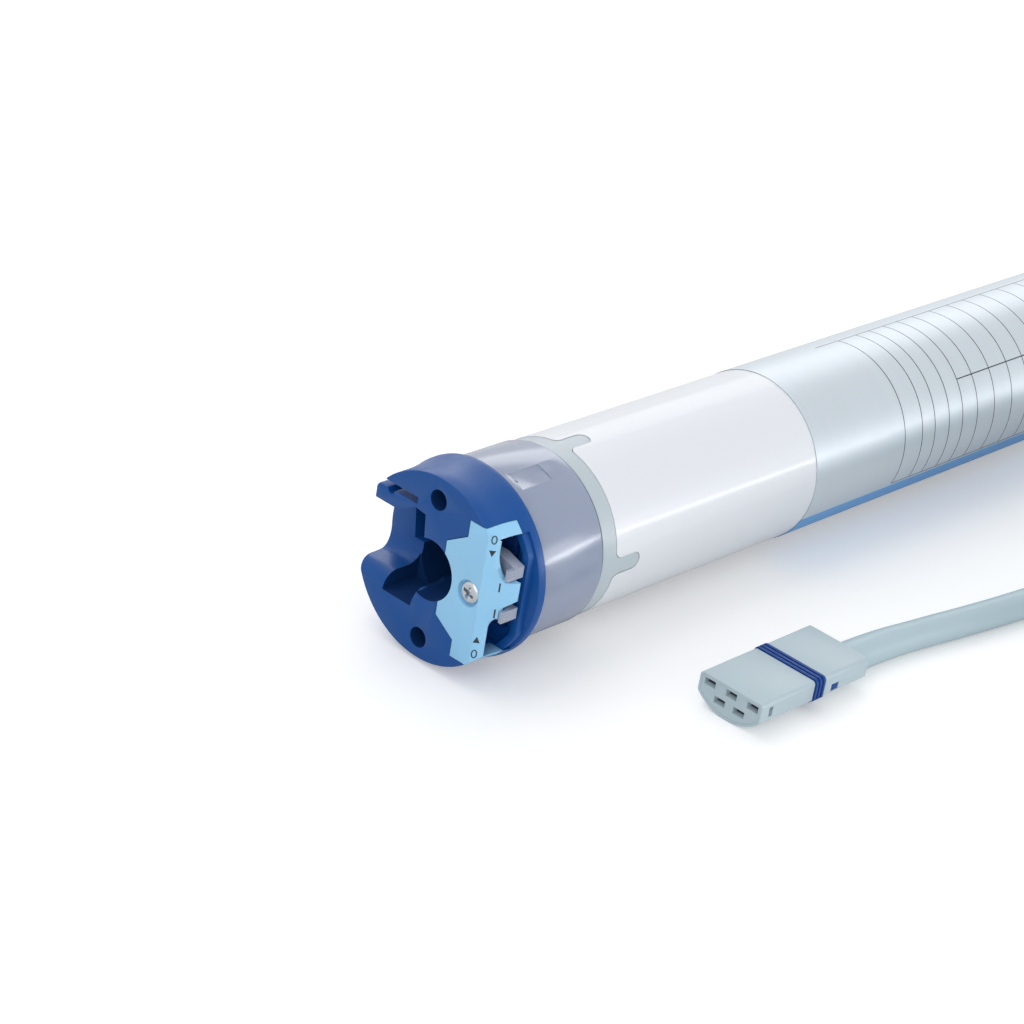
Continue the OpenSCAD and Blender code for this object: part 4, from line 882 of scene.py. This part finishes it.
# Inner parts: the nodes, the material's name, its colour, its roughness, and the terms of its finish
TURNED = (
    ("output_shaft rotor_shaft", "Turned free-cutting steel", "#AEB3B9", 0.3),
    ("rotor_bearings", "Ground bearing steel", "#D5D8DC", 0.18, 0.15, 0.001),
    ("brake_disc rotor_core", "Turned brake steel", "#9BA0A6", 0.38),
    ("ring_gear carrier_1 carrier_2 carrier_3", "Hobbed gear steel", "#8F949B", 0.34),
    ("planet_3a planet_3b planet_3c", "Hobbed hardened steel", "#9EA3A9", 0.3),
    ("motor_pinion planet_2a planet_2b planet_2c", "Hobbed gear brass", "#B8A06A", 0.32),
    ("socket_pins", "Gold-flashed contact brass", "#D9B45A", 0.25, 0.2, 0.001),
    ("connector_contacts", "Tinned contact bronze", "#6E7378", 0.4, 0.2, 0.001),
)
STRIPED = (
    ("brake_spring", "Spring wire", "#6F757C", 0.35, 0.7, 0.25, 0.15),
    ("stator_core", "Stacked electrical sheet", "#7C8288", 0.5, 0.5, 0.2, 0.02),
    ("stator_windings", "Enamelled copper wire", "#B5703C", 0.3, 0.35, 0.25, 0.05),
)
PEBBLED = (
    ("brake_lining", "Pressed brake lining", "#4B3A30", 0.75, 0.6, 0.03, 0.3),
    ("capacitor_pads", "Closed-cell foam rubber", "#4A4E55", 0.8, 0.7, 0.06, 0.2),
    ("ring_magnet", "Sintered ferrite magnet", "#3A3D42", 0.5, 0.3, 0.01, 0.1),
)
MOULDED = (
    ("planet_1a planet_1b planet_1c", "Moulded cream acetal", "#D8D2C0", 0.36),
    ("motor_capacitor", "Moulded capacitor case", "#B9BDC2", 0.4),
    ("board_components", "Moulded component resin", "#26292E", 0.42),
)


class MOTOR_OT_drive_end(bpy.types.Operator):
    """End cap, drive wheel and everything inside the tube"""

    bl_idname = "blind_motor.drive_end"
    bl_label = "Drive end and inner parts"

    def execute(self, context):
        paint = colours()
        black = moulded("Moulded glass-filled black polyamide", paint.black, 0.45, grain=0.3, depth=0.006)
        zinc = turned("Zinc plated fasteners", linear("#C9CDD2"), 0.28, feed=0.2, depth=0.001)
        finish_nodes(black, "board_carrier")
        finish_nodes(zinc, "tube_rivets core_ferrules")
        rounded_copy("end_cap", "end_cap_moulded", black, "motor_body", 0.3 * MM)
        rounded_copy("drive_wheel", "drive_wheel_moulded", black, "output", 0.3 * MM)
        rounded_copy("wheel_screw", "wheel_screw_turned", zinc, "output", 0.15 * MM)
        for way, rows in ((turned, TURNED), (pebbled, PEBBLED), (striped, STRIPED), (moulded, MOULDED)):
            for nodes, name, code, *terms in rows:
                finish_nodes(way(name, linear(code), *terms), nodes)
        cast = pebbled("Die cast zinc alloy", linear("#A9ADB3"), 0.42, 0.8, 0.006, 0.05, Metallic=1.0)
        bronze = pebbled("Sintered oil bronze", linear("#B08D4C"), 0.45, 0.25, 0.01, 0.08, Metallic=1.0)
        finish_nodes(cast, "rear_bell front_bell brake_plate")
        finish_nodes(bronze, "output_bush")
        finish_nodes(solder_mask(linear("#2F6B4A"), 0.6), "circuit_board sensor_board")
        finish_nodes(solder_mask(linear("#0C2F66"), 0.15), "switch_board")
        return {"FINISHED"}


# Stage

# Lamps: name, place, the point that it faces, width and height in metres, and power in watts
LAMPS = (
    ("Overhead softbox", (0.05, 0.35, 0.9), (0.12, 0, 0), 1.2, 0.7, 3.2),
    ("Side strip", (0.78, -0.80, 0.03), (0.04, -0.02, 0), 0.5, 0.07, 1.4),
    ("Back softbox", (0.81, 0.63, 0.5), (0.05, 0, 0), 0.9, 0.4, 2.4),
    ("Front fill", (0.35, -0.95, 0.13), (0.15, 0, 0), 1.2, 0.28, 3.2),
    ("Left fill", (-0.7, -0.3, 0.5), (0.05, 0, 0), 0.8, 0.8, 2.5),
)
SKY = (0.95, 0.97, 1, 1)
SKY_STRENGTH = 0.5
# The camera sees the paper lifted near the motor, and fading to the backdrop between two distances in metres
PAPER = ((0.86, 0.86, 0.86, 1), (0.88, 0.88, 0.88, 1))
PAPER_LIFT = 0.28
FADE_START = 0.4
FADE_END = 0.9


def area_light(name, place, aim, wide, tall, power):
    """Soft rectangular lamp that faces a point."""
    clear_selection()
    bpy.ops.object.light_add(type="AREA", location=place)
    made = bpy.context.object
    made.name = name
    made.data.shape = "RECTANGLE"
    made.data.size = wide
    made.data.size_y = tall
    made.data.energy = power
    made.rotation_euler = (Vector(aim) - Vector(place)).to_track_quat("-Z", "Y").to_euler()


class MOTOR_OT_stage(bpy.types.Operator):
    """Pale floor, white surroundings and soft studio lamps"""

    bl_idname = "blind_motor.stage"
    bl_label = "Stage"

    def execute(self, context):
        paint = colours()
        context.scene.view_settings.view_transform = "Standard"
        self.surroundings(context.scene, paint)
        self.floor(context, paint)
        for lamp in LAMPS:
            area_light(*lamp)
        return {"FINISHED"}

    def surroundings(self, scene, paint):
        """Soft light for the motor, and the plain backdrop for the camera, reflections and clear plastic."""
        world = bpy.data.worlds.new("White surroundings")
        scene.world = world
        world.use_nodes = True
        tree = world.node_tree
        tree.nodes.clear()
        rays = add_node(tree, "ShaderNodeLightPath")
        seen = rays["Is Camera Ray"]
        for ray in ("Is Glossy Ray", "Is Transmission Ray"):
            seen = add_node(tree, "ShaderNodeMath", {0: seen, 1: rays[ray]}, operation="MAXIMUM")[0]
        soft = add_node(tree, "ShaderNodeBackground", {"Color": SKY, "Strength": SKY_STRENGTH})[0]
        plain = add_node(tree, "ShaderNodeBackground", {"Color": tint(paint.backdrop), "Strength": 1})[0]
        mixed = add_node(tree, "ShaderNodeMixShader", {0: seen, 1: soft, 2: plain})[0]
        add_node(tree, "ShaderNodeOutputWorld", {"Surface": mixed})

    def floor(self, context, paint):
        """Sheet of paper under the motor and its cable."""
        clear_selection()
        bpy.ops.mesh.primitive_circle_add(
            vertices=96, radius=5, fill_type="NGON", location=(0.2, 0, FLOOR_Z)
        )
        made = context.object
        made.name = "floor"
        bpy.ops.object.mode_set(mode="EDIT")
        bpy.ops.mesh.select_all(action="SELECT")
        bpy.ops.mesh.inset(thickness=1.5)
        bpy.ops.object.mode_set(mode="OBJECT")
        made.data.materials.append(self.paper(paint))

    def paper(self, paint):
        """Matt white paper: even, without gloss, and as pale as the backdrop to the camera."""
        made, tree, where = start_material("Matt white paper")
        cloud = add_node(tree, "ShaderNodeTexNoise", features(where, 60))[0]
        tooth = add_node(tree, "ShaderNodeTexNoise", features(where, 4))[0]
        sheet = surface(tree, cloud, PAPER, tooth, (0.85, 0.9), **{"Specular IOR Level": 0.0})
        camera = add_node(tree, "ShaderNodeLightPath")["Is Camera Ray"]
        backdrop = tint(paint.backdrop)
        lift = add_node(tree, "ShaderNodeEmission", {"Color": backdrop, "Strength": PAPER_LIFT})[0]
        dark = add_node(tree, "ShaderNodeEmission", {"Strength": 0})[0]
        seen = add_node(tree, "ShaderNodeMixShader", {0: camera, 1: dark, 2: lift})[0]
        total = add_node(tree, "ShaderNodeAddShader", {0: sheet, 1: seen})[0]
        far = add_node(tree, "ShaderNodeVectorMath", {0: where}, operation="LENGTH")["Value"]
        fade = add_node(
            tree, "ShaderNodeMapRange", {"Value": far, "From Min": FADE_START, "From Max": FADE_END},
            interpolation_type="SMOOTHSTEP",
        )[0]
        fade = add_node(tree, "ShaderNodeMath", {0: fade, 1: camera}, operation="MULTIPLY")[0]
        plain = add_node(tree, "ShaderNodeEmission", {"Color": backdrop, "Strength": 1})[0]
        paper = add_node(tree, "ShaderNodeMixShader", {0: fade, 1: total, 2: plain})[0]
        add_node(tree, "ShaderNodeOutputMaterial", {"Surface": paper})
        return made


class MOTOR_PT_panel(bpy.types.Panel):
    """Lists the steps, sizes and colours of the motor"""

    bl_idname = "MOTOR_PT_panel"
    bl_label = "Blind motor"
    bl_space_type = "VIEW_3D"
    bl_region_type = "UI"
    bl_category = "Blind motor"

    def draw(self, context):
        for step in STEPS:
            self.layout.operator(step.bl_idname, text=step.bl_label)
        for group in (sizes(), colours()):
            for name in group.__annotations__:
                self.layout.prop(group, name)


STEPS = (
    MOTOR_OT_camera,
    MOTOR_OT_cable,
    MOTOR_OT_head,
    MOTOR_OT_switch,
    MOTOR_OT_ring,
    MOTOR_OT_tube,
    MOTOR_OT_connector,
    MOTOR_OT_drive_end,
    MOTOR_OT_stage,
)
CLASSES = (MotorColours, MotorSizes) + STEPS + (MOTOR_PT_panel,)


def register():
    for item in CLASSES:
        bpy.utils.register_class(item)
    bpy.types.Scene.motor_sizes = PointerProperty(type=MotorSizes)
    bpy.types.Scene.motor_colours = PointerProperty(type=MotorColours)


def unregister():
    del bpy.types.Scene.motor_colours
    del bpy.types.Scene.motor_sizes
    for item in reversed(CLASSES):
        bpy.utils.unregister_class(item)


def main():
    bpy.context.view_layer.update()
    register()
    bpy.ops.blind_motor.camera()
    bpy.ops.blind_motor.cable()
    bpy.ops.blind_motor.head()
    bpy.ops.blind_motor.switch()
    bpy.ops.blind_motor.ring()
    bpy.ops.blind_motor.tube()
    bpy.ops.blind_motor.connector()
    bpy.ops.blind_motor.drive_end()
    bpy.ops.blind_motor.stage()


if __name__ == "__main__":
    main()
